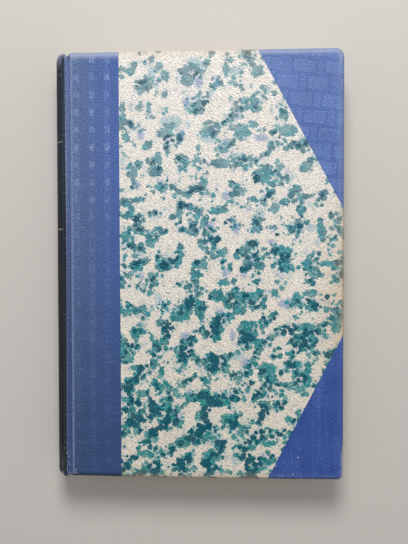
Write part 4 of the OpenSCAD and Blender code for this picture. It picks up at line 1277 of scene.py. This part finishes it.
def board_material():
    """Grey board, in layers that show at its edges."""
    g = Graph("board_card", roughness=0.9, specular=0.2)
    place = g.place()
    layers = g.noise(g.turn(place, 0, (10, 10, 1)), 4.0, 2)
    fibres = g.noise(place, 1.6, 4, 0.75)
    colour = g.lighten((166, 152, 130), layers * 0.2 + fibres * 0.16)
    g.bump(fibres, 0.08, 0.4)
    return g.done(colour)


def gauze_material():
    """Open gauze, whose threads cross."""
    g = Graph("gauze", roughness=0.9, specular=0.2)
    x, y, z = g.parts(g.place())
    pitch = 0.9
    warp = g.math("SINE", y * (math.tau / pitch))
    weft = g.math("SINE", (x + z) * (math.tau / pitch))
    mesh = g.most(warp, weft)
    colour = g.mix(g.smooth(mesh, -0.2, 0.7), (186, 176, 152), (222, 216, 198))
    g.bump(mesh, 0.12, 0.5)
    return g.done(colour)


def band_material():
    """Pale thread."""
    g = Graph("band_thread", roughness=0.75, specular=0.3, sheen=0.2)
    fine = g.noise(g.place(), 2.0, 3, 0.7)
    colour = g.lighten((214, 204, 182), fine * 0.2)
    g.bump(fine, 0.06, 0.4)
    return g.done(colour)


# The book
paper = side_paper_material()
quarter = quarter_cloth_material()
spine = spine_cloth_material()
corner = {
    True: corner_cloth_material("head_corner_cloth", dark=(66, 94, 158), light=(80, 110, 174), head=True),
    # the tail corner's darker colours are partly painted shade, partly the cloth's own tone
    False: corner_cloth_material("tail_corner_cloth", dark=(41, 73, 147), light=(53, 85, 159), head=False),
}
spine_case(spine)
gilt_lines(gilt_material())
page_block(page_edge_material())
thread = band_material()
card = board_material()
for at_head in (True, False):
    sewn_band(at_head, thread)
for is_front in (True, False):
    board_core(is_front, card)
    side_paper(is_front, paper)
    quarter_cloth(is_front, quarter)
    for at_head in (True, False):
        corner_cloth(is_front, at_head, corner[at_head])

endpaper = plain_paper_material("endpaper", light=(224, 212, 184), dark=(214, 200, 168))
for is_front in (True, False):
    endpaper_joint(is_front, endpaper)
gauze = gauze_material()
lining = plain_paper_material("lining_paper", light=(178, 144, 98), dark=(164, 130, 86), fibre=0.1)
# Materials and slots of the CAD pieces that are kept as they are
looks = [
    (endpaper, "endpaper", ["front_flyleaf", "back_flyleaf", "front_pastedown", "back_pastedown"]),
    (card, "board_card", ["spine_card"]),
    (gauze, "gauze", ["spine_mull", "front_mull_flange", "back_mull_flange"]),
    (lining, "lining_paper", ["spine_lining"]),
]
for material, kind, names in looks:
    for name in names:
        set_material(nodes[name], material)


# Floor, camera and light, in metres
def floor():
    """A plain pale floor."""
    mesh = bpy.data.meshes.new("floor")
    reach = 1.5
    corners = [(-reach, -reach, 0), (reach, -reach, 0), (reach, reach, 0), (-reach, reach, 0)]
    mesh.from_pydata(corners, [], [(0, 1, 2, 3)])
    obj = bpy.data.objects.new("floor", mesh)
    bpy.context.scene.collection.objects.link(obj)
    g = Graph("floor", roughness=0.95, specular=0.1)
    mesh.materials.append(g.done(linear((206, 202, 196))))


def lamp(name, place, aim, size, power):
    """A round soft light that points at its aim."""
    light = bpy.data.lights.new(name, "AREA")
    light.shape = "DISK"
    light.size = size
    light.energy = power
    obj = bpy.data.objects.new(name, light)
    bpy.context.scene.collection.objects.link(obj)
    obj.location = place
    obj.rotation_euler = (Vector(aim) - Vector(place)).to_track_quat("-Z", "Y").to_euler()


def camera(place, angles, lens):
    """The scene's camera, with its turns about x, y and z in degrees and its lens in mm."""
    view = bpy.data.cameras.new("camera")
    view.sensor_fit = "VERTICAL"
    view.sensor_height = view.sensor_width = 36.0
    view.lens = lens
    view.clip_start, view.clip_end = 0.01, 10.0
    obj = bpy.data.objects.new("camera", view)
    bpy.context.scene.collection.objects.link(obj)
    obj.location = place
    obj.rotation_euler = Euler([math.radians(angle) for angle in angles], "XYZ")
    bpy.context.scene.camera = obj


def plain_world(strength):
    """Even white light from all round."""
    world = bpy.data.worlds.new("world")
    world.use_nodes = True
    background = world.node_tree.nodes["Background"]
    background.inputs["Color"].default_value = (1.0, 1.0, 1.0, 1.0)
    background.inputs["Strength"].default_value = strength
    bpy.context.scene.world = world


floor()
camera(place=(0.03381, 0.00942, 0.43234), angles=(-1.787, 4.213, -0.091), lens=54.2)
plain_world(strength=0.4)
lamp("key", place=(0.03, 0.46, 0.58), aim=(0, 0, 0.02), size=0.3, power=3.9)
bpy.context.scene.view_settings.view_transform = "Standard"
